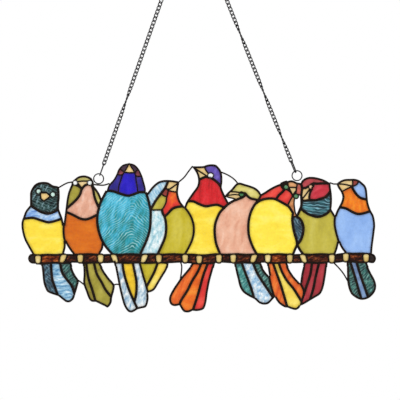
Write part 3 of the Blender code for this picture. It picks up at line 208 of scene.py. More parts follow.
finches["finch7"] = {"perch": 147, "feet": ((-14.5, 0, 0), (24, 0, 0)), "lines": (
    (edge, (-29, 111), (-21.5, 115), (-9, 123), (1, 128), (7.5, 130.5), (14, 133.5), (21.5, 135.5),
     (26, 136.5), (31.5, 135.5), (36, 133), (42, 132)),
    (seam, (-39, 93.5), (-29.5, 100.5), (-22, 103.5), (-13, 105), (-3, 104.5), (4, 101.5), (14, 96),
     (21.5, 91.5), (27, 84), (29.5, 79.5)),
    (seam, (0, 103.5), (5, 111), (10.5, 116), (15, 121)),
    (seam, (8, 130.5), (11, 124.5), (14, 121)),
    (fine, (18.5, 120.5), (23, 118), (27.5, 113), (28.5, 108.5), (25, 102.5), (20, 92)),
    (fine, (19.5, 135), (20.5, 131), (21, 128)),
    (seam, (11.5, 132.5), (15.5, 126)),
    (fine, (21, 124), (28, 124.5), (36, 124)),
    (fine, (37.5, 133), (36, 124.5), (35, 118.5), (34.5, 112)),
    (fine, (22.5, 124), (28, 113)),
    (fine, (35, 119), (29, 110.5)),
    (seam, (43.5, 131), (45.5, 123.5), (44.5, 114), (44, 110), (44.5, 100), (44, 91.5), (41.5, 85),
     (38, 77), (36, 74)),
    (fine, (37, 112.5), (40, 111.5), (44, 110.5)),
    (fine, (32.5, 106), (31.5, 97), (32.5, 87), (33.5, 81), (36, 74)),
    (fine, (36, 74), (28.5, 72)),
    (seam, (29.5, 79.5), (28.5, 69), (29.5, 57), (32.5, 43), (35.5, 33), (37, 24.5), (37, 24.5),
     (33, 15.5), (30, 8)),
    (seam, (36, 74), (43, 68), (46.5, 61), (48, 53), (46.5, 41.5), (42.5, 31), (37, 24.5),
     (37, 24.5), (41.5, 15.5), (47, 8)),
    (edge, (-16, -6), (-13.5, -23), (-11, -37), (-7, -54.5), (-2.5, -67.5), (4.5, -78.5),
     (15, -85.5), (20, -86), (20, -86), (28, -89), (35.5, -90), (42, -85), (45, -74), (48.5, -62),
     (48, -55), (46, -50), (41.5, -42.5), (32, -32), (23.5, -19), (18.5, -6)),
    (seam, (-6, -6), (0.5, -24.5), (7.5, -44), (12.5, -60.5), (20, -86)),
    (seam, (4, -6), (10.5, -23.5), (19, -38.5), (30, -52), (40, -67.5), (44.5, -75)),
), "beads": {"eye_upper": (17.5, 125, 9, 9), "eye_lower": (35, 109, 9, 9)}, "panes": {
    "back": ("redBright", -6, 113), "face": ("redBright", 17, 107),
    "forehead": ("orangePale", 29, 130), "neck_strip": ("orangePale", 28, 95),
    "brow": ("pinkRed", 40, 120), "beak": ("amberPale", 29.5, 119), "body": ("yellow", -5, 50),
    "wing_tip": ("tealSlate", 38, 50), "tail_left": ("orange", 0, -48),
    "tail_middle": ("yellowTail", 18, -52), "tail_right": ("orange", 36, -48),
}}
finches["finch8"] = {"perch": 217, "feet": ((-22, 0, -2.5), (27.5, 0, 0)), "lines": (
    (edge, (-26.5, 130.5), (-25.5, 134.5), (-22.5, 138), (-17.5, 141), (-11, 142.5), (-2, 142),
     (6.5, 140), (15, 137), (23, 132.5), (27, 131)),
    (seam, (-25, 123), (-18.5, 123.5), (-12, 127)),
    (seam, (-9.5, 129), (-4, 131.5), (1, 131), (10.5, 131.5), (24.5, 131.5)),
    (fine, (-11, 122), (-17.5, 112.5), (-25.5, 103)),
    (fine, (-9.5, 123), (-11, 116), (-12.5, 108.5), (-12, 102)),
    (seam, (-4, 131), (-6, 124.5), (-10.5, 116), (-12, 108.5), (-12, 102.5)),
    (seam, (-26, 103), (-20.5, 101), (-12, 102.5), (-1, 102), (7.5, 104.5), (16, 107.5),
     (21, 112.5), (26, 119)),
    (edge, (24.5, 132), (25.5, 123.5), (27, 113), (27.5, 103), (27, 92), (26.5, 86), (29.5, 81),
     (33.5, 74)),
    (seam, (-27.5, 88), (-20.5, 82), (-12, 77), (-3.5, 74), (2, 73), (10.5, 74.5), (19, 79),
     (26.5, 87)),
    (edge, (40, 31), (37, 17.5), (33.5, 8)),
    (edge, (-20.5, -6), (-25.5, -25.5), (-28, -43)),
    (seam, (-7, -6), (-10, -27.5), (-17, -49), (-23.5, -69)),
    (seam, (5.5, -6), (-1, -33), (-4.5, -51), (-11, -72.5)),
    (edge, (20, -6), (17.5, -28), (13, -51.5), (7.5, -62.5), (-2.5, -69), (-10, -73.5), (-19, -79),
     (-27.5, -83)),
), "beads": {"eye": (-9.5, 125.5, 7.5, 7.5)}, "panes": {
    "crown": ("crimsonPale", -3, 137), "cheek": ("crimsonBright", 10, 117),
    "collar": ("tealWave", 0, 88), "body": ("olive", 0, 40), "beak_upper": ("amberPale", -20, 116),
    "beak_lower": ("amberPale", -17, 107), "tail_left": ("crimsonDark", -19, -30),
    "tail_middle": ("crimson", -8, -40), "tail_right": ("crimson", 7, -38),
}}
finches["finch9"] = {"perch": 287, "feet": ((-18, 2, 0), (17.5, 1, 0)), "lines": (
    (edge, (-34, 130.5), (-27.5, 135.5), (-19.5, 138.5), (-10, 139), (-2.5, 139), (5.5, 136.5),
     (11.5, 131.5), (16, 127), (18.5, 120), (19.5, 110), (21, 97.5), (25, 85), (30.5, 74.5),
     (33, 58.5), (32, 48), (30.5, 36), (28.5, 21), (27.5, 8)),
    (edge, (-34, 130.5), (-30.5, 123), (-26, 116.5), (-23.5, 108), (-25.5, 99), (-30, 90),
     (-34.5, 81), (-37, 72), (-37.5, 60), (-35.5, 48), (-32, 35), (-28.5, 24.5), (-23, 15),
     (-17, 8)),
    (fine, (-34, 130.5), (-22, 130), (-8, 127)),
    (fine, (-6, 139), (-6, 130), (-7, 126)),
    (fine, (-26, 116.5), (-16, 122), (-7, 126)),
    (fine, (5, 137), (1, 129.5), (-7, 126)),
    (seam, (-7, 126), (-6, 122.5), (1, 112), (8, 106), (20, 103)),
    (seam, (-30, 89.5), (-20.5, 88.5), (-12.5, 85), (-5.5, 81), (3, 78), (12.5, 79), (25.5, 83)),
    (edge, (-16, -6), (-16, -25.5), (-15, -44.5), (-9.5, -61), (0.5, -69.5), (10.5, -72.5),
     (22, -69.5), (32, -60), (35.5, -49), (33, -37.5), (25.5, -23.5), (18, -6)),
    (seam, (-10, -6), (-2.5, -30), (3, -49), (9.5, -72)),
    (seam, (0.5, -6), (7, -27.5), (14.5, -49), (21.5, -69)),
), "panes": {
    "forehead": ("redDark", -2, 134), "nape": ("periwinkle", 9, 120),
    "breast": ("orangeBreast", -5, 100), "body": ("periwinkle", -2, 45),
    "beak_upper": ("amberPale", -16, 134), "beak_lower": ("amberPale", -18, 125.5),
    "tail_left": ("tealRipple", -7, -45), "tail_middle": ("periwinkleDark", 6, -40),
    "tail_right": ("tealRipple", 22, -40),
}}
# Tie wires, soldered across the open gaps: points measured from the hang point's plumb line
# and the middle of the branch.
tieWires = (
    ((-234, 123.8), (-219, 132), (-209.5, 134)),                        # finch 1 to 2
    ((-172, 129.5), (-162, 128.5), (-154, 128.5), (-145.5, 131)),       # finch 2 to 3
    ((-22.5, 134.5), (-14, 142), (-5, 154), (0.5, 161)),                # finch 4 to 5
    ((51.5, 151), (60, 147.5), (68, 143), (75, 137.5), (80, 131.5)),    # finch 5 to 6
    ((242, 132.5), (247.5, 130.5), (253, 130.5)),                       # finch 8 to 9
    ((-202, -36), (-193, -42.5), (-186.5, -48)),                        # tails 1 and 2
    ((-138.5, -46.5), (-132, -45), (-125, -46)),                        # tails 2 and 3
    ((-37, -5), (-28, -1), (-20, -7), (-18, -16), (-20.5, -37)),        # branch to tail 5
    ((245.5, -5), (256.5, -16), (265, -26.5), (273.5, -41)),            # branch to tail 9
)
eyeGlass = {"finch1": "eyeMint", "finch2": "eyeWhite", "finch5": "eyeWhite", "finch6": "eyeGreen",
            "finch7": "eyeGreen", "finch8": "eyePeach"}
branch = {
    "half": 7.3, "ends": (-286.5, 321.5),
    "wave": (0.45, 37.0),       # height and length of the waves in its hand-cut edges
    "round": 0.55,              # how full its ends are
    "lap": 3.4,                 # its edges run in this far under a foot
    "foot": (11.6, 15.8), "footRound": 4.6, "footPoints": 5,    # points at each corner
    "footTaper": 0.14,          # a foot is this much wider at its top and narrower at its bottom
    "endMark": 3.0,             # how far inside its ends their glass is marked
    "redBark": (2, 14),         # pieces of redder glass, counted from the left
    "shortPiece": 20,           # a shorter piece is of black glass
}
drawing = {
    "step": 2.3,                # between points along a smooth line
    "ovalStep": 1.3, "ovalLeast": 16,   # between points round an oval, and its fewest points
    "reach": 4.0,               # how far a line's end looks for the line that it meets
    "crossing": 0.1,            # how far it then runs past it
    "miss": 0.02,               # part of a segment by which it may miss it
    "setIn": (1.3, 2.0),        # outer edges are drawn round the outside of their solder: its
                                # middle lies this far in, above and below the branch
    "merge": 0.02,              # points nearer than this are one, among the centre lines
    "touch": 1e-4,              # and elsewhere
    "margin": 50.0,             # room round the cartoon
    "straight": 0.99,           # cosine of a bend so slight that its corner is always mitred
    "sharpest": -0.4,           # and of the sharpest that may be
    "least": 0.1,               # of 1 + that cosine, which a mitre is divided by
    "tiny": 1e-6,               # a shorter side is left out
    "parallel": 1e-9,           # smaller differences and products count as none
}


# Cross product of vectors in the plane.
def crossOf(first, second):
    return first[..., 0] * second[..., 1] - first[..., 1] * second[..., 0]


# Each corner of a ring with the next one, as numbers from a first number on.
def ringSides(count, first=0):
    index = first + np.arange(count)
    return np.stack([index, np.roll(index, -1)], 1)


# Cuts the plane between the points into triangles, with the given sides among their own. Gives
# the points, the triangles and all that the cut says of them.
def cutPlane(spots, sides, near):
    cut = delaunay_2d_cdt([Vector(spot) for spot in spots], sides.tolist(), [], 0, near)
    return np.array([tuple(spot) for spot in cut[0]]), np.array(cut[2]), cut


# Catmull-Rom curve through the points, with a chord-length slope at each: for a part t of a span
# from a to b with slopes p and q, a(2t3-3t2+1) + p(t3-2t2+t) + b(3t2-2t3) + q(t3-t2).
def smoothLine(points, step):
    runs = [[points[0]]]
    for point in points[1:]:
        if point == runs[-1][-1]:
            runs.append([])
        runs[-1].append(point)
    drawn = [np.array(points[:1], float)]
    for run in (run for run in runs if len(run) > 1):
        knots = np.array(run, float)
        knots = np.vstack([2 * knots[0] - knots[1], knots, 2 * knots[-1] - knots[-2]])
        for before, start, end, after in zip(knots, knots[1:], knots[2:], knots[3:]):
            reach = np.linalg.norm(end - start)
            slopeIn = (end - before) * reach / (np.linalg.norm(start - before) + reach)
            slopeOut = (after - start) * reach / (np.linalg.norm(after - end) + reach)
            count = max(1, round(reach / step))
            t = (np.arange(1, count + 1) / count)[:, None]
            drawn.append((2 * t ** 3 - 3 * t ** 2 + 1) * start
                         + (t ** 3 - 2 * t ** 2 + t) * slopeIn
                         + (3 * t ** 2 - 2 * t ** 3) * end + (t ** 3 - t ** 2) * slopeOut)
    return np.vstack(drawn)


# Oval: centre plus half the width times cos, half the height times sin.
def ovalLine(x, z, width, height):
    count = max(drawing["ovalLeast"], round(math.pi * width / drawing["ovalStep"]))
    turn = np.linspace(0, 2 * math.pi, count + 1)
    return np.stack([x + width / 2 * np.cos(turn), z + height / 2 * np.sin(turn)], 1)


# Rounded bar across the branch: four quarter circles at its corners, drawn out to a taper and
# sheared so its top leans.
def footLine(x, z, lean):
    halfWidth, halfHeight = branch["foot"][0] / 2, branch["foot"][1] / 2
    radius, count = branch["footRound"], branch["footPoints"]
    turn = np.radians(np.arange(4)[:, None] * 90 + np.linspace(0, 90, count)).ravel()
    side = np.repeat([1, -1, -1, 1], count) * (halfWidth - radius)
    end = np.repeat([1, 1, -1, -1], count) * (halfHeight - radius)
    across, up = side + radius * np.cos(turn), end + radius * np.sin(turn)
    across *= 1 + branch["footTaper"] * up / halfHeight
    points = np.stack([x + across + lean * up / halfHeight, z + up], 1)
    return np.vstack([points, points[:1]])


# Every foot's place, rise and lean, from the left.
def feetPlaces():
    return sorted((finch["perch"] + x, rise, lean)
                  for finch in finches.values() for x, rise, lean in finch["feet"])


# The feet, the branch's edges between them as a straight line plus a sine, and its round ends.
def branchLines():
    feet = feetPlaces()
    lines = [(fine, footLine(*place)) for place in feet]
    halfFoot = branch["foot"][0] / 2 - branch["lap"]
    waveHeight, waveLength = branch["wave"]
    for (left, leftRise, leftLean), (right, rightRise, rightLean) in zip(feet, feet[1:]):
        for level in (branch["half"], -branch["half"]):
            part = level / branch["foot"][1] * 2
            start = np.array([left + leftLean * part + halfFoot, leftRise + level])
            end = np.array([right + rightLean * part - halfFoot, rightRise + level])
            along = np.linspace(0, 1, max(2, round((end - start)[0] / drawing["step"]) + 1))
            points = start + (end - start) * along[:, None]
            points[:, 1] += waveHeight * np.sin(2 * math.pi * points[:, 0] / waveLength + level)
            lines.append((edge, points))
    for end, (x, rise, _) in zip(branch["ends"], (feet[0], feet[-1])):
        side, height = math.copysign(1, end), branch["half"]
        root = x + side * halfFoot
        bulge = min(height, abs(end - root)) * branch["round"]
        lines.append((edge, smoothLine([(root, rise + height), (end - side * bulge, height),
                                        (end, 0), (end - side * bulge, -height),
                                        (root, rise - height)], drawing["step"])))
    return lines


# Runs the end of a line on until it crosses one of the segments, whichever crossing is nearest.
def meetingPoint(end, back, segments):
    along = (end - back) / np.linalg.norm(end - back)
    start = end - drawing["reach"] * along
    way = segments[:, 2:] - segments[:, :2]
    cross = crossOf(along, way)
    cross = np.where(np.abs(cross) < drawing["parallel"], drawing["parallel"], cross)
    offset = segments[:, :2] - start
    distance, part = crossOf(offset, way) / cross, crossOf(offset, along) / cross
    hit = ((distance > 0) & (distance < 2 * drawing["reach"])
           & (part >= -drawing["miss"]) & (part <= 1 + drawing["miss"]))
    if not hit.any():
        return end
    nearest = distance[hit][np.argmin(np.abs(distance[hit] - drawing["reach"]))]
    return start + along * (nearest + drawing["crossing"])


# Every solder line as (width, points), x from the plumb line and z from the branch's middle.
def cartoonLines():
    lines = branchLines()
    for finch in finches.values():
        perch = np.array([finch["perch"], 0.0])
        lines += [(width, smoothLine(points, drawing["step"]) + perch)
                  for width, *points in finch["lines"]]
        lines += [(eyeRim, ovalLine(*bead) + perch) for bead in finch.get("beads", {}).values()]
    pieces = [np.hstack([points[:-1], points[1:]]) for _, points in lines]
    for index, (_, points) in enumerate(lines):
        if np.allclose(points[0], points[-1]):
            continue
        others = np.vstack(pieces[:index] + pieces[index + 1:])
        points[0] = meetingPoint(points[0], points[1], others)
        points[-1] = meetingPoint(points[-1], points[-2], others)
    return lines


# Every pane's name, glass and a point inside it.
def paneMarks():
    found = []
    for bird, finch in finches.items():
        eyes = {name: (eyeGlass[bird], x, z)
                for name, (x, z, _, _) in finch.get("beads", {}).items()}
        for name, (glass, x, z) in {**finch["panes"], **eyes}.items():
            found.append((f"{bird}_{name}", glass, finch["perch"] + x, z))
    feet = [(x, rise) for x, rise, _ in feetPlaces()]
    left, right = branch["ends"][0] + branch["endMark"], branch["ends"][1] - branch["endMark"]
    places = [left] + [x for x, _ in feet] + [right]
    for index, (x, rise) in enumerate(feet):
        found.append((f"foot_{index + 1:02}", "claw", x, rise))
    for number, (start, end) in enumerate(zip(places, places[1:]), 1):
        middle = start if number == 1 else end if end == right else (start + end) / 2
        glass = ("barkRed" if number in branch["redBark"]
                 else "barkBlack" if end - start < branch["shortPiece"] else "bark")
        found.append((f"branch_{number:02}", glass, middle, 0))
    return found


# Each triangle's three sides as (start, end), the number of the side that runs the other way,
# or -1 at the rim of the whole, and the triangle that owns each side.
def triangleSides(triangles, size):
    sides = np.stack([triangles, np.roll(triangles, -1, 1)], 2).reshape(-1, 2)
    codes, mirrored = sides[:, 0] * size + sides[:, 1], sides[:, 1] * size + sides[:, 0]
    order = np.argsort(codes)
    place = np.minimum(np.searchsorted(codes[order], mirrored), len(codes) - 1)
    twins = np.where(codes[order][place] == mirrored, order[place], -1)
    return sides, twins, np.repeat(np.arange(len(triangles)), 3)


# Follows directed sides into closed loops. Where several leave a corner it takes the tightest
# turn.
def followLoops(sides, values, spots):
    ways = {}
    for (start, end), value in zip(sides.tolist(), values.tolist()):
        ways.setdefault(start, []).append((end, value))
    loops = []
    while ways:
        start = next(iter(ways))
        before, here, trail, found = None, start, [], []
        while not trail or here != start:
            out = ways[here]
            if len(out) > 1 and before is not None:
                back = math.atan2(*(spots[before] - spots[here])[::-1])
                out.sort(key=lambda way: (back - math.atan2(*(spots[way[0]] - spots[here])[::-1]))
                         % (2 * math.pi))
            following, value = out.pop(0)
            if not out:
                del ways[here]
            trail.append(here)
            found.append(value)
            before, here = here, following
        loops.append((spots[trail], np.array(found)))
    return loops


# Whether each area holds a mark: the windings of its loops add up to one there.
def marksIn(loops):
    inside = sum(winding(markPlaces, points) for points, _ in loops) > 0
    return [mark for mark, found in zip(marks, inside) if found]


# Numbers areas by passing the lowest number of their triangles round, over every open side.
def areaNumbers(count, first, second):
    label = np.arange(count)
    while True:
        lower = np.minimum(label[first], label[second])
        passed = label.copy()
        np.minimum.at(passed, first, lower)
        np.minimum.at(passed, second, lower)
        passed = passed[passed]
        if (passed == label).all():
            return label
        label = passed


# Cuts the plane along the lines and joins triangles that no line parts. Gives each area's loops
# with the half width of solder inside each side, its marks, and the lines that part areas.
def cutAreas(lines):
    counts = np.array([len(points) for _, points in lines])
    firsts = np.cumsum(counts) - counts
    starts = np.concatenate([first + np.arange(n - 1) for first, n in zip(firsts, counts)])
    halves = np.repeat([width / 2 for width, _ in lines], counts - 1)
    spots = np.vstack([points for _, points in lines])
    low, high = spots.min(0) - drawing["margin"], spots.max(0) + drawing["margin"]
    spots = np.vstack([spots, [low, (high[0], low[1]), high, (low[0], high[1])]])
    spots, triangles, cut = cutPlane(spots, np.stack([starts, starts + 1], 1), drawing["merge"])
    size = len(spots)
    wall = {min(side) * size + max(side): max(halves[i] for i in found)
            for side, found in zip(cut[1], cut[4]) if found}
    sides, twins, owner = triangleSides(triangles, size)
    codes = sides.min(1) * size + sides.max(1)
    joined = (twins >= 0) & ~np.isin(codes, list(wall))
    mine = areaNumbers(len(triangles), owner[joined], owner[twins[joined]])[owner]
    rim = (twins < 0) | (mine != mine[twins])
    across = np.where(twins < 0, -1, mine[twins])
    areas = {}
    for area in np.unique(mine[rim]).tolist():
        chosen = rim & (mine == area)
        widths = [wall.get(code, 0.0) for code in codes[chosen].tolist()]
        loops = followLoops(sides[chosen], np.stack([widths, across[chosen]], 1), spots)
        areas[area] = (loops, marksIn(loops))
    above, below = drawing["setIn"]
    found = []
    for loops, named in areas.values():
        reached = []
        for points, values in loops:
            half, other = values.T
            gapBeyond = np.array([not areas[area][1] if area >= 0 else not named
                                  for area in other.astype(int).tolist()])
            setIn = np.where(points[:, 1] < -2 * branch["half"], below, above)
            outer = np.isin(half, (edge / 2, slimEdge / 2)) & (gapBeyond == bool(named))
            reached.append((points, half + outer * (setIn if named else -setIn)))
        found.append((reached, named))
    return found, spots, sides[rim & (twins >= 0) & (sides[:, 0] < sides[:, 1])]


# Half the sum of cross products of neighbouring corners: positive anticlockwise.
def enclosed(points):
    return 0.5 * float(np.sum(crossOf(points, np.roll(points, -1, 0))))


# How often a closed loop runs round each point: sides that pass it upwards less those downwards.
def winding(points, loop):
    start, end, point = loop[None], np.roll(loop, -1, 0)[None], points[:, None]
    left = crossOf(end - start, point - start)
    below, above = start[..., 1] <= point[..., 1], end[..., 1] <= point[..., 1]
    return (below & ~above & (left > 0)).sum(1) - (~below & above & (left < 0)).sum(1)


# The loop moved to its left by each side's half width: corners are mitred where they can be, and
# what is turned over, where the winding is not positive, is cut away. Largest part only.
def insetLoop(loop, half):
    way = np.roll(loop, -1, 0) - loop
    length = np.linalg.norm(way, axis=1)
    keep = length > drawing["tiny"]
    loop, half, way = loop[keep], half[keep], way[keep] / length[keep, None]
    normal = np.stack([-way[:, 1], way[:, 0]], 1)
    before, depth = np.roll(normal, 1, 0), np.roll(half, 1)
    bend = (before * normal).sum(1)
    folded = crossOf(before, normal) * half > 0
    mitred = ((np.abs(depth - half) < drawing["parallel"])
              & ((bend > drawing["straight"]) | ~folded & (bend > drawing["sharpest"])))[:, None]
    mitre = loop + (before + normal) * (half / np.maximum(1 + bend, drawing["least"]))[:, None]
    first = np.where(mitred, mitre, loop + before * depth[:, None])
    last = np.where(mitred, mitre, loop + normal * half[:, None])
    middle = np.where(mitred, mitre, np.where(folded[:, None], loop, first))
    moved = np.stack([first, middle, last], 1).reshape(-1, 2)
    moved = moved[np.linalg.norm(moved - np.roll(moved, 1, 0), axis=1) > drawing["tiny"]]
    if len(moved) < 3:
        return moved[:0]
    spots, triangles, _ = cutPlane(moved, ringSides(len(moved)), drawing["touch"])
    if len(triangles) == 0:
        return moved[:0]
    inside = winding(spots[triangles].mean(1), moved) > 0
    sides, twins, owner = triangleSides(triangles, len(spots))
    rim = inside[owner] & ((twins < 0) | ~inside[owner[twins]])
    loops = followLoops(sides[rim], np.zeros(rim.sum()), spots)
    return max((points for points, _ in loops), key=enclosed, default=moved[:0])


# The same for a loop that runs clockwise, round a hole: it is turned about, and comes back so.
def insetOpening(loop, half):
    return insetLoop(loop[::-1], -np.roll(half[::-1], -1))


# The loops of an area moved into it by a part of the solder's half width.
def insetArea(loops, part):
    moved = [insetLoop(points, half * part) if enclosed(points) > 0
             else insetOpening(points, half * part)[::-1] for points, half in loops]
    return [ring for ring in moved if len(ring) > 2]


toMetres, toMillimetres = 0.001, 1000
swellWaves = {"count": 7, "lengths": (0.7, 1.4), "gain": 1.5}
tube = {
    "tip": (90, 60, 30),        # rings of a rounded tip, in degrees from its end
    "least": 0.001,             # radius of its last ring
    "upright": 0.05,            # a way nearer the panel's normal than this takes another frame
}
batch = {"pairs": 400000, "points": 4000}       # worked out at a time, to spare memory


# Gentle random swell: the mean of plane sine waves of about one length, each with its own
# heading.
def swell(x, z, length, seed):
    draw, count = np.random.default_rng(seed), swellWaves["count"]
    heading, phase = draw.uniform(0, 2 * math.pi, (2, count))
    number = 2 * math.pi / (length * draw.uniform(*swellWaves["lengths"], count))
    along = np.cos(heading) * x[..., None] + np.sin(heading) * z[..., None]
    return np.sin(along * number + phase).mean(-1) * math.sqrt(count) / swellWaves["gain"]


# Makes a piece from arrays in millimetres: vertices no face uses are dropped, sides turned by
# more than a sharp angle stay sharp, and named values go with the points.
def makePiece(name, points, faces, finish, nodes=(), values=None, sharp=50):
    used = np.unique(np.concatenate([np.ravel(face) for face in faces]))
    place = np.zeros(len(points), int)
    place[used] = np.arange(len(used))
    mesh = bpy.data.meshes.new(name)
    mesh.from_pydata((points[used] * toMetres).tolist(), [],
                     [corner for group in faces for corner in place[group].tolist()])
    for label, numbers in (values or {}).items():
        layer = mesh.attributes.new(label, "FLOAT", "POINT")
        layer.data.foreach_set("value", numbers[used].astype(np.float32))
    mesh.shade_smooth()
    mesh.set_sharp_from_angle(angle=math.radians(sharp))
    mesh.materials.append(finish)
    piece = bpy.data.objects.new(name, mesh)
    bpy.context.scene.collection.objects.link(piece)
    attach(piece, "root")
    known = [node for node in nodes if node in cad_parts]
    if known:
        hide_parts(*known)
    return piece


# Closed slab from flat triangles: the front at y = -front, the back at y = back, and a wall
# between them along every side that only one triangle has.
def slabFaces(flat, triangles, front, back):
    size = len(flat)
    points = np.vstack([np.stack([flat[:, 0], level, flat[:, 1]], 1) for level in (-front, back)])
    sides, twins, _ = triangleSides(triangles, size)
    start, end = sides[twins < 0].T
    walls = np.stack([start, start + size, end + size, end], 1)
    return points, [triangles, triangles[:, ::-1] + size, walls]


# Tube round a path: centre + radius (beside cos v + across sin v), with a frame carried along the
# path so that it doesn't twist. A closed path joins up; an open one ends in rounded tips.
def tubeFaces(path, radius, sides=12, closed=False):
    if closed:
        way, radii = np.roll(path, -1, 0) - np.roll(path, 1, 0), np.full(len(path), radius)
    else:
        way = np.gradient(path, axis=0)
        tip, out = (radius * part(np.radians(tube["tip"])) for part in (np.cos, np.sin))
        tip, rings = np.maximum(tip, tube["least"]), len(tip)
        first, last = (end / np.linalg.norm(end) for end in (way[0], way[-1]))
        radii = np.concatenate([tip, np.full(len(path), radius), tip[::-1]])
        path = np.vstack([path[0] - out[:, None] * first, path, path[-1] + out[::-1, None] * last])
        way = np.vstack([np.repeat(way[:1], rings, 0), way, np.repeat(way[-1:], rings, 0)])
    way = way / np.linalg.norm(way, axis=1)[:, None]
    across = np.cross(way, np.array([0.0, 1.0, 0.0]))
    across[np.linalg.norm(across, axis=1) < tube["upright"]] = np.array([1.0, 0.0, 0.0])
    across /= np.linalg.norm(across, axis=1)[:, None]
    for index in range(1, len(path)):
        if across[index] @ across[index - 1] < 0:
            across[index] *= -1
    beside = np.cross(way, across)
    turn = np.linspace(0, 2 * math.pi, sides, endpoint=False)[None, :, None]
    points = (path[:, None] + radii[:, None, None]
              * (beside[:, None] * np.cos(turn) + across[:, None] * np.sin(turn)))
    index = np.arange(len(path) * sides).reshape(-1, sides)
    lower, upper = (index, np.roll(index, -1, 0)) if closed else (index[:-1], index[1:])
    faces = [np.stack([lower, upper, np.roll(upper, -1, 1), np.roll(lower, -1, 1)], 2)
             .reshape(-1, 4)]
    if not closed:
        faces += [index[:1], index[-1:, ::-1]]
    return points.reshape(-1, 3), faces


# Distance from each point to the nearest side of the loops.
def nearSide(points, loops):
    start = np.vstack(loops)
    way = np.vstack([np.roll(loop, -1, 0) - loop for loop in loops])
    least = np.empty(len(points))
    batches = len(points) * len(start) // batch["pairs"] + 1
    for part in np.array_split(np.arange(len(points)), batches):
        offset = points[part, None] - start[None]
        along = (offset * way).sum(2) / np.maximum((way ** 2).sum(1), drawing["parallel"])
        missed = offset - np.clip(along, 0, 1)[..., None] * way
        least[part] = np.sqrt((missed ** 2).sum(2).min(1))
    return least


solder = {
    "top": 2.8,                 # half the height of a bead on its ridge
    "glassLevel": 1.5,          # half the glass, where the bead meets it
    "rim": 0.55,                # half the height left at an outer edge
    "parts": (1, 0.92, 0.76, 0.5, 0.24),    # rings across the bead, as parts of its half width
    "reach": 9.0,               # no bead is wider than this
    "blob": (0.5, 3.6),         # height and reach of the pool where beads meet
    "backBlob": 0.5,            # the pool's height at the back, as a part of that
    "swell": (0.16, 9.0),       # height and length of the unevenness of a hand-run bead
    "seeds": (3, 4),            # of the swell on its front and back
    "smallestGap": 9.0,         # a smaller opening in the web is filled
}
marks = paneMarks()
markPlaces = np.array([(x, z) for _, _, x, z in marks])
lines = cartoonLines()
areas, corners, walls = cutAreas(lines)
print(f"cartoon drawn: {len(lines)} lines, {len(areas)} areas")


# The web in one surface: rings inside each area at the set parts of the half width and the centre
# lines between them, cut into triangles together, less what lies inside the innermost rings. With
# distances d1 to the nearest opening and d2 to the next, the bead rises from its rim by the part
# sqrt(1 - u^2), where u = (d2 - d1) / (d2 + d1): a half oval between two openings.
def solderWeb(finish):
    spots, edges, openings = [corners], [walls], []
    for loops, named in areas:
        opening = insetLoop(*max(loops, key=lambda loop: enclosed(loop[0])))
        if len(opening) < 3 or not named and enclosed(opening) < solder["smallestGap"]:
            continue
        for part in solder["parts"]:
            rings = insetArea(loops, part)
            for ring in rings:
                edges.append(ringSides(len(ring), sum(len(group) for group in spots)))
                spots.append(ring)
            if part == 1:
                openings.append((rings, bool(named)))
    flat, triangles, _ = cutPlane(np.vstack(spots), np.vstack(edges), drawing["touch"])
    middle, covered = flat[triangles].mean(1), np.zeros(len(triangles), int)
    near = np.full((2, len(flat)), solder["reach"])
    level = np.full(len(flat), solder["glassLevel"])
    for rings, named in openings:
        low, high = np.vstack(rings).min(0), np.vstack(rings).max(0)
        for ring in rings:
            inside = np.flatnonzero(((middle > ring.min(0)) & (middle < ring.max(0))).all(1))
            for part in np.array_split(inside, len(inside) // batch["points"] + 1):
                covered[part] += winding(middle[part], ring)
        close = np.flatnonzero(((flat > low - solder["reach"])
                                & (flat < high + solder["reach"])).all(1))
        away = nearSide(flat[close], rings)
        first = away < near[0, close]
        near[1, close] = np.where(first, near[0, close], np.minimum(near[1, close], away))
        near[0, close] = np.where(first, away, near[0, close])
        level[close] = np.where(first, solder["glassLevel" if named else "rim"], level[close])
    u = (near[1] - near[0]) / (near[1] + near[0])
    part = np.sqrt(np.maximum(1 - u ** 2, 0))
    joined, count = np.unique(walls, return_counts=True)
    pools = corners[joined[count > 2]]
    (blob, blobReach), (rough, roughLength) = solder["blob"], solder["swell"]
    pool = blob * np.exp(-((flat[:, None] - pools[None]) ** 2).sum(2).min(1) / blobReach ** 2)
    front, back = (level + (solder["top"] - level) * part
                   + (share * pool + rough * swell(*flat.T, roughLength, seed)) * part
                   for share, seed in zip((1, solder["backBlob"]), solder["seeds"]))
    points, faces = slabFaces(flat, triangles[covered <= 0], front, back)
    return makePiece("solder_lines", points + shift, faces, finish,
                     ["solder_web"])


# sRGB hex to linear: c / 12.92 in the darks, ((c + 0.055) / 1.055) ^ 2.4 above them.
def linear(hexColour):
    parts = np.array([int(hexColour[at:at + 2], 16) for at in (1, 3, 5)]) / 255
    low = parts <= 0.04045
    return (*np.where(low, parts / 12.92, ((parts + 0.055) / 1.055) ** 2.4).tolist(), 1.0)


# Adds a node: settings are its own, stops are the places and hex colours of its ramp, and each
# input is given another node's output or a value.
def addNode(tree, kind, inputs=None, stops=(), **settings):
    node = tree.nodes.new(kind)
    for name, value in settings.items():
        setattr(node, name, value)
    ramp = node.color_ramp.elements if stops else ()
    while len(ramp) < len(stops):
        ramp.new(1.0)
    for stop, (place, colour) in zip(ramp, stops):
        stop.position, stop.color = place, linear(colour)
    for name, value in (inputs or {}).items():
        if isinstance(value, bpy.types.NodeSocket):
            tree.links.new(value, node.inputs[name])
        else:
            node.inputs[name].default_value = value
    return node


# An empty material and its node tree.
def newFinish(name):
    finish = bpy.data.materials.new(name)
    finish.use_nodes = True
    finish.node_tree.nodes.clear()
    return finish, finish.node_tree


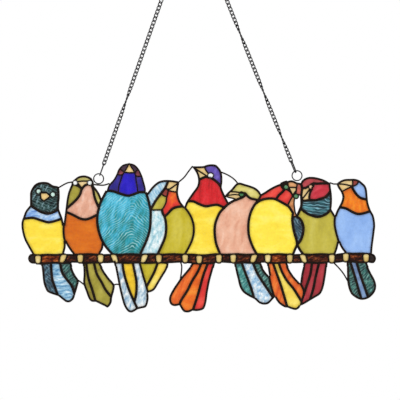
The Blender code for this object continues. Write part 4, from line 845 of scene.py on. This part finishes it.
cloudy = (0.3, 0.7)             # between these lies nearly all that a noise gives
glassFace = {
    "detail": 3.0, "roughness": 0.55, "curl": 0.4,      # of the streaks
    "grainDetail": 4.0, "grainRoughness": 0.62,         # of the mottle
    "relief": (0.15, 0.95),     # heights of a ripple between which its painted crest light and shade comes in
    # brown of the flux stain and patina, which also stands for painted shade of the solder
    "stain": "#3A1C10",
    "glossRange": 0.1,          # how much duller the glass is where it is mottled
    "bump": (0.15, 0.0006),     # strength and metres
    "bending": 1.52,            # index of refraction
}


# Sheet glass as it is rolled for windows: colour that runs in streaks along the sheet, a finer
# mottle of the opal in it, painted light and shade along the crests of the ripples pressed in its
# face as lighter or darker lines, a brown stain of flux and patina beside the solder that also
# stands for painted shade of the solder, and a fire-polished surface, smooth between them.
def glassFinish(name, look):
    finish, tree = newFinish(name)
    place = addNode(tree, "ShaderNodeTexCoord").outputs["Object"]
    longest, widest = look["wisp"]
    turned = addNode(tree, "ShaderNodeMapping", {
        "Vector": place, "Rotation": (0, math.radians(look["turn"]), 0)}).outputs["Vector"]
    streaked = addNode(tree, "ShaderNodeMapping", {
        "Vector": turned,
        "Scale": [toMillimetres / size for size in (longest, widest, widest)]})
    factor = addNode(tree, "ShaderNodeTexNoise", {
        "Vector": streaked.outputs["Vector"], "Scale": 1.0, "Detail": glassFace["detail"],
        "Roughness": glassFace["roughness"], "Distortion": glassFace["curl"]}).outputs["Fac"]
    if "run" in look:
        share = look["run"][1]
        run = addNode(tree, "ShaderNodeAttribute", attribute_name="run")
        slow = addNode(tree, "ShaderNodeMapRange", {
            "Value": run.outputs["Fac"], "To Min": -share / 2, "To Max": share / 2})
        factor = addNode(tree, "ShaderNodeMath", {0: factor, 1: slow.outputs["Result"]},
                         operation="ADD").outputs["Value"]
    places = np.linspace(*cloudy, len(look["colours"])).tolist()
    colour = addNode(tree, "ShaderNodeValToRGB", {"Fac": factor},
                     list(zip(places, look["colours"]))).outputs["Color"]
    mottle = addNode(tree, "ShaderNodeTexNoise", {
        "Vector": turned, "Scale": toMillimetres / look["grain"],
        "Detail": glassFace["grainDetail"], "Roughness": glassFace["grainRoughness"]})
    shade = addNode(tree, "ShaderNodeMapRange", {
        "Value": mottle.outputs["Fac"], "From Min": cloudy[0], "From Max": cloudy[1],
        "To Min": 1 - look["mottle"], "To Max": 1 + look["mottle"]})
    colour = addNode(tree, "ShaderNodeMix", {6: colour, 7: shade.outputs["Result"], 0: 1.0},
                     data_type="RGBA", blend_type="MULTIPLY").outputs[2]
    # Painted light and shade along the ripples: the crests take the crest colour, lighter than the
    # glass in most looks and darker in the ice ripple.
    if "line" in look:
        lineColour, most = look["line"]
        relief = addNode(tree, "ShaderNodeAttribute", attribute_name="relief")
        low, high = glassFace["relief"]
        strength = addNode(tree, "ShaderNodeMapRange", {
            "Value": relief.outputs["Fac"], "From Min": low, "From Max": high,
            "To Min": 0.0, "To Max": most})
        colour = addNode(tree, "ShaderNodeMix", {
            0: strength.outputs["Result"], 6: colour, 7: linear(lineColour)},
            data_type="RGBA").outputs[2]
    # Glass beside the solder is darkened towards brown: partly flux stain and patina, partly
    # painted shade of the solder.
    rim = addNode(tree, "ShaderNodeAttribute", attribute_name="edge")
    stain = addNode(tree, "ShaderNodeMapRange", {
        "Value": rim.outputs["Fac"], "To Min": 0.0, "To Max": look["stain"]})
    colour = addNode(tree, "ShaderNodeMix", {
        0: stain.outputs["Result"], 6: colour, 7: linear(glassFace["stain"])},
        data_type="RGBA").outputs[2]
    gloss = addNode(tree, "ShaderNodeMapRange", {
        "Value": mottle.outputs["Fac"], "From Min": cloudy[0], "From Max": cloudy[1],
        "To Min": look["gloss"], "To Max": look["gloss"] + glassFace["glossRange"]})
    strength, distance = glassFace["bump"]
    bump = addNode(tree, "ShaderNodeBump", {
        "Height": mottle.outputs["Fac"], "Strength": strength, "Distance": distance})
    shader = addNode(tree, "ShaderNodeBsdfPrincipled", {
        "Base Color": colour, "Roughness": gloss.outputs["Result"],
        "Normal": bump.outputs["Normal"], "IOR": glassFace["bending"],
        "Specular IOR Level": look["shine"]})
    addNode(tree, "ShaderNodeOutputMaterial", {"Surface": shader.outputs["BSDF"]})
    return finish


metals = {
    # Tin and lead solder blackened with copper patina: a soft near-black metal with a brown cast,
    # rubbed a little greyer in places, and the fine grain of a bead run by hand.
    "blackPatinaSolder": {
        "clouds": (14, 5), "grain": (1.6, 3),       # size in millimetres and detail
        "colours": ((0.35, "#110A07"), (0.55, "#1D130E"), (0.75, "#2E211A")),
        "gloss": (0.3, 0.5), "metallic": 0.85, "bump": (0.25, 0.0003)},
    # Oil-blackened steel wire and chain: dark grey, a dull gloss, with thin drawing marks.
    "blackenedSteelWire": {
        "clouds": (5, 4), "grain": (5, 4),
        "colours": ((0.32, "#141314"), (0.5, "#262527"), (0.7, "#48474A")),
        "gloss": (0.28, 0.45), "metallic": 1.0, "bump": (0.15, 0.0002)},
}


# A dark metal: its colours and gloss follow soft clouds, its bumps a grain.
def metalFinish(name):
    finish, tree = newFinish(name)
    metal = metals[name]
    place = addNode(tree, "ShaderNodeTexCoord").outputs["Object"]
    cloud, grain = (addNode(tree, "ShaderNodeTexNoise", {
        "Vector": place, "Scale": toMillimetres / size, "Detail": detail,
        "Roughness": 0.6}).outputs["Fac"] for size, detail in (metal["clouds"], metal["grain"]))
    colour = addNode(tree, "ShaderNodeValToRGB", {"Fac": cloud}, metal["colours"])
    rough = addNode(tree, "ShaderNodeMapRange", {
        "Value": cloud, "From Min": cloudy[0], "From Max": cloudy[1],
        "To Min": metal["gloss"][0], "To Max": metal["gloss"][1]})
    bump = addNode(tree, "ShaderNodeBump", {
        "Height": grain, "Strength": metal["bump"][0], "Distance": metal["bump"][1]})
    shader = addNode(tree, "ShaderNodeBsdfPrincipled", {
        "Base Color": colour.outputs["Color"], "Metallic": metal["metallic"],
        "Roughness": rough.outputs["Result"], "Normal": bump.outputs["Normal"]})
    addNode(tree, "ShaderNodeOutputMaterial", {"Surface": shader.outputs["BSDF"]})
    return finish


# One look for each glass. Colours run along the streaks' ramp; wisp is the length and width of a
# streak, grain the size of the mottle, all in millimetres. Turn leans the streaks. Ripple is the
# length, height and heading of the waves pressed in the face; the crest colour is the painted light
# and shade that shows along their crests, with how strongly; arch is how far right of the middle
# they peak and how steeply they fall to its sides, and run the heading of a slow change from the
# first colours to the last and its share of them. The rim stain is how strongly the rim is darkened
# brown, by flux stain and patina and by painted shade of the solder, and dome how far a piece
# bulges.
def look(sheet, colours, **other):
    return {"slot": f"{sheet}_glass", "colours": colours.split(), "wisp": (40, 18), "turn": 0,
            "mottle": 0.06, "grain": 5.0, "gloss": 0.12, "shine": 0.25, "stain": 0.35, **other}


glassLooks = {
    "tealHead": look("teal_ripple", "#010506 #0E2426 #244644 #7A98A2", wisp=(12, 3.4), turn=50,
        mottle=0.3, grain=2.0, ripple=(4.2, 0.2, 70), line=("#A6C8CC", 0.32), run=(160, 0.12),
        shine=0.15),
    "tealRipple": look("teal_ripple", "#061E22 #163E40 #26625C #74B0A6", wisp=(9, 4), turn=60,
        mottle=0.35, grain=2.5, ripple=(4.4, 0.18, 130), line=("#A8D4C8", 0.45)),
    "tealGreen": look("teal_ripple", "#1A4A4C #2C6E6E #409490 #80C0B4", wisp=(9, 5), turn=60,
        mottle=0.25, grain=2.5, ripple=(4.4, 0.18, 130), line=("#A8D4C8", 0.4)),
    "tealSlate": look("teal_ripple", "#101E2C #213C4C #34586A #6E95A6", wisp=(10, 5), turn=50,
        mottle=0.3, grain=2.5, ripple=(4.4, 0.18, 45), line=("#A4C4D4", 0.5)),
    "tealWave": look("teal_ripple", "#08222C #143C46 #225C66 #5698A4", wisp=(14, 5), turn=-12,
        mottle=0.2, grain=2.5, ripple=(5.0, 0.22, 84), line=("#96D2E4", 0.85)),
    "skyWisp": look("sky_wispy", "#6EA6D2 #92C2DE #BEDEEC #F4FAFA", wisp=(18, 5), turn=-50,
        mottle=0.15, grain=2.5, ripple=(4.6, 0.14, 30), line=("#F2FAFC", 0.5)),
    "skyCollar": look("sky_wispy", "#4F7CC8 #76A2E0 #9CC2EC #D6E8F8", wisp=(16, 5), turn=20,
        mottle=0.18, grain=2.5, ripple=(5.0, 0.12, 80), line=("#D8EAFA", 0.4)),
    "skySpeckle": look("sky_wispy", "#76A6D0 #A4C8E2 #D2E4F0 #FDFEFE", wisp=(6, 5), turn=60,
        mottle=0.2, grain=2.5),
    "iceWisp": look("ice_wispy", "#84BCD0 #B4DAE4 #DEF0F4 #FFFFFF", wisp=(14, 5), turn=80,
        mottle=0.14, grain=2.5, ripple=(4.6, 0.14, 60), line=("#8FC0D0", 0.4)),
    "iceStreak": look("ice_wispy", "#6E9CC0 #B0CADC #E0ECF2 #FFFFFF", wisp=(14, 5), turn=75,
        mottle=0.14, grain=2.5),
    "iceRipple": look("ice_wispy", "#4E86B0 #82B4D4 #B2D8EC #F2FAFE", wisp=(14, 4), turn=10,
        mottle=0.12, grain=2.5, ripple=(4.6, 0.2, 86), line=("#2E6A9A", 0.75)),
    "yellow": look("yellow", "#FADD3C #FFE748 #FFF06C"),
    "yellowWarm": look("yellow", "#F6D434 #FCDF40 #FEEA64"),
    "yellowTail": look("yellow", "#EECC46 #F6DA58 #FCE878"),
    "olive": look("olive", "#B0A438 #C0B440 #CCC258", wisp=(60, 26), turn=88),
    "oliveWarm": look("olive", "#A8981C #C2B220 #CEC044", wisp=(60, 22), turn=88),
    "oliveTail": look("olive", "#968C2C #A89E3A #B8AE50", turn=60),
    "olivePale": look("olive", "#C8BC54 #D8CE6E #E4DC8C"),
    "pink": look("pink", "#D6987E #E4AC92 #F0C4B0", wisp=(20, 10), turn=70, mottle=0.08),
    "pinkBody": look("pink", "#DC9C80 #EAB296 #F2C4AC", wisp=(26, 14), turn=80),
    "orangeBody": look("burnt_orange", "#C85C02 #D66A02 #DE760C"),
    "turquoiseRipple": look("turquoise_ripple", "#12787A #22929E #34A6C2 #54BCDA", wisp=(26, 8),
        turn=75, mottle=0.2, grain=2.5, ripple=(3.8, 0.2, 90), arch=(14, 0.85),
        line=("#B4ECF4", 0.75), run=(125, 0.32)),
    "cobalt": look("cobalt", "#1200A0 #1800B8 #2C18CC", wisp=(40, 14), turn=85),
    "purple": look("violet", "#1A1478 #281F8E #4638A4", wisp=(20, 8), turn=80, mottle=0.15),
    "plumDark": look("violet", "#261A3C #3E2A48 #5E3A50", mottle=0.2),
    "violet": look("violet", "#5240A0 #604CB2 #7868C4", wisp=(20, 8), turn=60, mottle=0.12),
    "red": look("red", "#A80A12 #D2141E #E22C34", wisp=(34, 7), turn=85, mottle=0.12),
    "redBright": look("red", "#D4242A #E4362E #EE5044", wisp=(30, 14), turn=50),
    "redDark": look("red", "#8A2A24 #B0443A #C85C4A", mottle=0.15),
    "redRose": look("red", "#5A2038 #84364A #B05A60", wisp=(10, 5), turn=40, mottle=0.2, grain=3.0),
    "pinkRed": look("red", "#C04A40 #DC6656 #EA8878", mottle=0.12),
    "crimson": look("crimson", "#9C202C #B2303C #C44A54", wisp=(40, 10), turn=80),
    "crimsonPale": look("crimson", "#AC3840 #C2484E #D05E64", wisp=(30, 10)),
    "crimsonBright": look("crimson", "#B01C30 #C62B3C #D64454", wisp=(30, 10), turn=30),
    "crimsonDark": look("crimson", "#86101E #9E1C2A #B02E3C", wisp=(40, 10), turn=80),
    "flame": look("orange", "#D41E20 #E03026 #E85420 #F27E1C", wisp=(40, 12), turn=60, mottle=0.08,
        run=(35, 0.3)),
    "orange": look("orange", "#D04E12 #E8661C #F28432", wisp=(26, 6), turn=70, mottle=0.12),
    "orangePale": look("orange", "#CC8048 #E0965C #EAAC74", mottle=0.1),
    "orangeBreast": look("orange", "#DC6404 #EE7A0C #F8941C", wisp=(24, 7), turn=85, mottle=0.1),
    "amber": look("amber", "#E4BA1C #F0C828 #F8D64C"),
    "amberRed": look("amber", "#DC5C0C #EC6C12 #F28A28"),
    "amberPale": look("amber", "#E2BC74 #F0D08C #F8DEA6", stain=0.2),
    "claw": look("amber", "#CDAE62 #E2C87C #F0DC9C", dome=0.7, grain=2.5),
    "periwinkle": look("sky_wispy", "#84ABE8 #90B6F0 #9EC2F6", wisp=(50, 24), turn=80),
    "periwinkleDark": look("sky_wispy", "#6A8CC2 #80A0CC #96B6DE", wisp=(30, 10), turn=70),
    "bark": look("bark_brown", "#040102 #240A06 #52200E #A0562C", wisp=(8, 3.5), turn=20,
        mottle=0.4, grain=2.5, shine=0.1),
    "barkRed": look("bark_brown", "#240602 #561C08 #8A3C14 #D07838", wisp=(8, 3.5), turn=20,
        mottle=0.4, grain=2.5, shine=0.1),
    "barkBlack": look("bark_brown", "#020204 #0C080A #221410", wisp=(9, 4), turn=20, mottle=0.3,
        grain=2.5, gloss=0.3),
    "eyeMint": look("ice_wispy", "#C4EADE #DCF6EE #F6FFFC", dome=1.1, grain=2.5, stain=0.1),
    "eyeWhite": look("ice_wispy", "#E4F4EE #F6FCFA #FFFFFF", dome=1.1, grain=2.5, stain=0.1),
    "eyeGreen": look("olive", "#2C744A #3E8452 #6EA078", dome=1.1, grain=2.5),
    "eyePeach": look("amber", "#E8B28A #F8CCA4 #FEE2C4", dome=1.1, grain=2.5, stain=0.15),
}
pane = {
    "half": 1.5,                # half the thickness of the sheet
    "edge": 0.97,               # its edge, as a part of the solder's half width
    "step": (3.6, 1.15, 1.3),   # between points: plain sheets, rippled sheets, domed pieces
    "clear": 0.6,               # least distance of a point from the rim, in steps
    "wave": (0.11, 30.0),       # height and length of the slow waves in a rolled sheet
    "backWave": (0.05, 18.0),
    "warp": ((0.5, 30.0), (0.16, 9.0)),     # how far ripples stray, in their lengths, and over what
    "fade": (0.65, 0.35, 21.0),     # their least part, what swells over it and its length
    "seeds": (11, 12, 13, 14, 15),  # of the wave, the two warps, the fade and the back's wave
    "archTop": 4.0,             # how round the top of arched ripples is
    "domeReach": 4.0,           # how far from its rim a domed piece still rises
    "stain": 2.5,               # how far the stain and painted shade beside the solder reach
}


# A pane: its outline and a triangle grid of points inside it, cut into triangles. The front is
# the sheet's level plus slow waves, or where the glass has ripples, ripples
# sin(2 pi (across + warp) / length) times a slow fade in their place, plus a dome that rises from
# the edge as 1 - (1 - d / reach)^2. Arched ripples are measured along height + slope * hypot(aside,
# top).
def glassPane(name, loops, kind, finish):
    chosen = glassLooks[kind]
    ripple, dome = chosen.get("ripple"), chosen.get("dome", 0.0)
    step = pane["step"][1 if ripple else 2 if dome else 0]
    rims = insetArea(loops, pane["edge"])
    low, high = np.vstack(rims).min(0), np.vstack(rims).max(0)
    rows = np.arange(low[1], high[1], step * math.sqrt(0.75))
    across = np.arange(low[0], high[0], step)
    grid = np.stack([across[None] + (np.arange(len(rows)) % 2)[:, None] * step / 2,
                     np.broadcast_to(rows[:, None], (len(rows), len(across)))], 2).reshape(-1, 2)
    grid = grid[sum(winding(grid, rim) for rim in rims) > 0]
    grid = grid[nearSide(grid, rims) > step * pane["clear"]] if len(grid) else grid
    counts = [len(rim) for rim in rims]
    edges = np.vstack([ringSides(count, sum(counts[:index]))
                       for index, count in enumerate(counts)])
    flat, triangles, _ = cutPlane(np.vstack(rims + [grid]), edges, drawing["touch"])
    middle = flat[triangles].mean(1)
    triangles = triangles[sum(winding(middle, rim) for rim in rims) > 0]
    x, z = flat.T
    waveSeed, warpSeed, fineWarpSeed, fadeSeed, backSeed = pane["seeds"]
    height, length = pane["wave"]
    relief = swell(x, z, length, waveSeed)
    if ripple:
        length, height, turn = ripple
        ahead = x * math.cos(math.radians(turn)) + z * math.sin(math.radians(turn))
        if "arch" in chosen:
            right, slope = chosen["arch"]
            aside = np.hypot(x - (low[0] + high[0]) / 2 - right, pane["archTop"])
            ahead = (ahead + slope * aside) / math.hypot(1, slope)
        warp, fineWarp = (share * length * swell(x, z, over, seed) for (share, over), seed
                          in zip(pane["warp"], (warpSeed, fineWarpSeed)))
        least, more, over = pane["fade"]
        fade = least + more * swell(x, z, over, fadeSeed)
        relief = np.sin(2 * math.pi * (ahead + (warp + fineWarp)) / length) * fade
    front = pane["half"] + height * relief
    rimDistance = nearSide(flat, rims)
    if dome:
        front = front + dome * (1 - (1 - np.minimum(rimDistance / pane["domeReach"], 1)) ** 2)
    height, length = pane["backWave"]
    back = pane["half"] + height * swell(x, z, length, backSeed)
    points, faces = slabFaces(flat, triangles, front, back)
    heading = math.radians(chosen.get("run", (0, 0))[0])
    run = x * math.cos(heading) + z * math.sin(heading)
    # edge carries the flux stain and painted shade of the solder beside the rim
    values = {"relief": np.tile(relief, 2),
              "run": np.tile((run - run.min()) / np.ptp(run), 2),
              "edge": np.tile(1 - np.minimum(rimDistance / pane["stain"], 1), 2)}
    return makePiece(f"glass_{name}", points + shift, faces, finish, [name],
                     values)


# The web's lowest and left-most corner in the CAD model says where the cartoon's own zero lies.
surroundings = min((loops for loops, _ in areas),
                   key=lambda loops: min(enclosed(points) for points, _ in loops))
outline = insetOpening(*min(surroundings, key=lambda loop: enclosed(loop[0])))
webLow = np.array(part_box("solder_web")[0]) * toMillimetres
shift = np.array([webLow[0] - outline[:, 0].min(), 0, webLow[2] - outline[:, 1].min()])
print("cartoon's zero at", np.round(shift, 2))

blackSolder = metalFinish("blackPatinaSolder")
web = solderWeb(blackSolder)
print(f"solder web: {len(web.data.polygons)} faces")

glassFinishes, paneCount = {}, 0
for loops, named in areas:
    for name, kind, _, _ in named:
        if kind not in glassFinishes:
            glassFinishes[kind] = glassFinish(f"{kind}Glass", glassLooks[kind])
        glassPane(name, loops, kind, glassFinishes[kind])
        paneCount += 1
print(f"panes: {paneCount}")


hanging = {
    "ringWire": 2.1, "topWire": 2.6, "linkWire": 2.2, "tieWire": 2.7,
    "linkBend": 2.7, "linkRun": 16.5,   # radius of an end link's bends and the run between them
    "linkTurn": (90, 62),               # how far each end link stands across the panel, degrees
    "slack": 0.3,
    "ringPoints": 48, "bendPoints": 11, "tieStep": 2.0,
    "topSides": 14, "sides": 12, "tieSides": 10,
}
chain = {
    "pitch": 6.8, "wide": 7.8, "wire": 2.0,
    "overlap": 1.2,             # how far a link runs past its pitch, in wires
    "square": 0.8,              # power that fills out the oval: 1 leaves it round
    "curb": 40,                 # degrees each link is twisted from end to end
    "points": 12, "sides": 5,
    "halfTurns": ((118, 345, 430), (46, 131, 241, 340, 430)),   # where each chain turns over
    "turnRun": 95,              # run of chain in which it does
    "sink": 0.8,                # how far its ends go into what they hang on, in wires
    "sharp": 80,
}


# Middle and size of a CAD node, in millimetres.
def nodePlace(node):
    low, high = (np.array(corner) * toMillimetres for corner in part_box(node))
    return (low + high) / 2, high - low


# Black wire bent into a closed path.
def bentWire(name, path, wire, sides, node):
    points, faces = tubeFaces(path, wire / 2, sides, True)
    makePiece(name, points, faces, steel, [node])


# Ring in the panel's plane, inside a CAD ring's box: middle + radius (cos t, 0, sin t).
def hangingRing(name, node, wire, sides):
    middle, size = nodePlace(node)
    turn = np.linspace(0, 2 * math.pi, hanging["ringPoints"], endpoint=False)[:, None]
    path = middle + (size[0] - wire) / 2 * (np.cos(turn) * [1, 0, 0] + np.sin(turn) * [0, 0, 1])
    bentWire(name, path, wire, sides, node)
    return middle, size[0] / 2


# Long wire link: two half circles joined by straight runs, standing in the plane of the chain's
# way and a heading turned round the chain. Gives where the link ends.
def endLink(node, ring, radius, way, turn):
    across = np.array([0.0, 1.0, 0.0])
    beside = np.cross(across, way)
    turned = across * math.sin(math.radians(turn)) + beside * math.cos(math.radians(turn))
    inner = radius - hanging["ringWire"] - hanging["slack"] - hanging["linkWire"] / 2
    bend, run = hanging["linkBend"], hanging["linkRun"]
    arc = np.radians(np.linspace(0, 180, hanging["bendPoints"]))[:, None]
    halfRound = bend * (np.cos(arc) * turned + np.sin(arc) * way)
    path = np.vstack([ring + way * (inner + bend) - halfRound,
                      ring + way * (inner + bend + run) + halfRound])
    bentWire(node, path, hanging["linkWire"], hanging["sides"], node)
    return ring + way * (inner + 2 * bend + run)


# Curb chain from start to end. A link is an oval (length cos t, width sin t) whose plane turns
# about the chain by -curb to curb from one end of it to the other, and by 180 (3 u2 - 2 u3) where
# the chain turns over, u = 0 to 1 along that run; its wire is round.
def curbChain(node, start, end, halfTurns):
    run = np.linalg.norm(end - start)
    way = (end - start) / run
    across = np.array([0.0, 1.0, 0.0])
    beside = np.cross(across, way)
    wire = chain["wire"] / 2
    count = int(round(run / chain["pitch"]))
    pitch = run / count
    halfLong = pitch / 2 + chain["overlap"] * wire * 2 - wire
    halfWide = chain["wide"] / 2 - wire
    t = np.linspace(0, 2 * math.pi, chain["points"], endpoint=False)
    along = halfLong * np.cos(t)
    wide = halfWide * np.sign(np.sin(t)) * np.abs(np.sin(t)) ** chain["square"]
    middle = (np.arange(count)[:, None] + 0.5) * pitch
    u = np.clip((middle - np.array(halfTurns)) / chain["turnRun"] + 0.5, 0, 1)
    over = 180 * (u * u * (3 - 2 * u)).sum(1)[:, None]
    turn = np.radians(over + chain["curb"] * along / halfLong)
    radial = np.cos(turn)[..., None] * beside + np.sin(turn)[..., None] * across
    path = start + (middle + along)[..., None] * way + wide[:, None] * radial
    ahead = np.roll(path, -1, 1) - np.roll(path, 1, 1)
    ahead /= np.linalg.norm(ahead, axis=2)[..., None]
    face = np.cross(radial, way)
    up = face - (face * ahead).sum(2)[..., None] * ahead
    up /= np.linalg.norm(up, axis=2)[..., None]
    out = np.cross(ahead, up)
    v = np.linspace(0, 2 * math.pi, chain["sides"], endpoint=False)[:, None]
    points = path[:, :, None] + wire * (out[:, :, None] * np.cos(v) + up[:, :, None] * np.sin(v))
    index = np.arange(points.size // 3).reshape(points.shape[:3])
    ahead = np.roll(index, -1, 1)
    faces = np.stack([index, ahead, np.roll(ahead, -1, 2), np.roll(index, -1, 2)], 3)
    makePiece(node, points.reshape(-1, 3), [faces.reshape(-1, 4)], steel,
              [node], sharp=chain["sharp"])


steel = metalFinish("blackenedSteelWire")
top, topRadius = hangingRing("ring_top", "top_ring", hanging["topWire"], hanging["topSides"])
sink = chain["wire"] * chain["sink"]
for side, turn, halfTurns in zip(("left", "right"), hanging["linkTurn"], chain["halfTurns"]):
    ring, radius = hangingRing(f"ring_{side}", f"ring_{side}", hanging["ringWire"],
                               hanging["sides"])
    way = (top - ring) / np.linalg.norm(top - ring)
    linkTop = endLink(f"end_link_{side}", ring, radius, way, turn)
    curbChain(f"chain_{side}", linkTop - way * sink,
              top - way * (topRadius - hanging["topWire"] - sink), halfTurns)
print("rings, links and chains done")

for index, route in enumerate(tieWires):
    path = smoothLine(route, hanging["tieStep"])
    path = np.stack([path[:, 0], np.zeros(len(path)), path[:, 1]], 1) + shift
    points, faces = tubeFaces(path, hanging["tieWire"] / 2, hanging["tieSides"])
    makePiece(f"tie_wire_{index + 1}", points, faces, blackSolder)
print("tie wires done")


studio = {
    "world": "#FFFFFF", "worldStrength": 1.0,
    "floorColours": ("#E9E6E1", "#EFEDE9"), "floorHeight": -1.35, "floorSize": 5.6,
    "cloudsPerMetre": 3.0, "floorRoughness": 0.8,
    "lampPlace": (-1.6, -3.2, 1.4), "lampSize": 1.8, "lampPower": 18.0,
    "cameraDistance": 4.2, "lens": 216.0, "aim": (0.014, 0.0, -0.5116),
}
scene = bpy.context.scene
scene.view_settings.view_transform = "Standard"
world = bpy.data.worlds.new("softStudio")
world.use_nodes = True
background = world.node_tree.nodes["Background"]
background.inputs["Color"].default_value = linear(studio["world"])
background.inputs["Strength"].default_value = studio["worldStrength"]
scene.world = world


# An object of the studio, linked to the scene.
def addToScene(name, data):
    thing = bpy.data.objects.new(name, data)
    scene.collection.objects.link(thing)
    return thing


aim = Vector(studio["aim"])
lampLight = bpy.data.lights.new("softLamp", "AREA")
lampLight.size, lampLight.energy = studio["lampSize"], studio["lampPower"]
lamp = addToScene("softLamp", lampLight)
lamp.location = studio["lampPlace"]
lamp.rotation_euler = (aim - lamp.location).to_track_quat("-Z", "Y").to_euler()


# Pale matt plaster board for the floor, with a faint unevenness.
def floorFinish(name):
    finish, tree = newFinish(name)
    place = addNode(tree, "ShaderNodeTexCoord").outputs["Object"]
    cloud = addNode(tree, "ShaderNodeTexNoise", {
        "Vector": place, "Scale": studio["cloudsPerMetre"], "Detail": 4.0})
    colour = addNode(tree, "ShaderNodeValToRGB", {"Fac": cloud.outputs["Fac"]},
                     list(zip(cloudy, studio["floorColours"])))
    shader = addNode(tree, "ShaderNodeBsdfPrincipled", {
        "Base Color": colour.outputs["Color"], "Roughness": studio["floorRoughness"]})
    addNode(tree, "ShaderNodeOutputMaterial", {"Surface": shader.outputs["BSDF"]})
    return finish


half = studio["floorSize"] / 2
floorMesh = bpy.data.meshes.new("floor")
floorMesh.from_pydata([(x * half, y * half, studio["floorHeight"])
                       for x, y in ((-1, -1), (1, -1), (1, 1), (-1, 1))], [], [(0, 1, 2, 3)])
floorMesh.materials.append(floorFinish("paleFloorBoard"))
floor = addToScene("floor", floorMesh)

cameraData = bpy.data.cameras.new("frontCamera")
cameraData.lens = studio["lens"]
camera = addToScene("frontCamera", cameraData)
camera.location = aim + Vector((0, -studio["cameraDistance"], 0))
camera.rotation_euler = (math.pi / 2, 0, 0)
scene.camera = camera
print("floor, light and camera done")
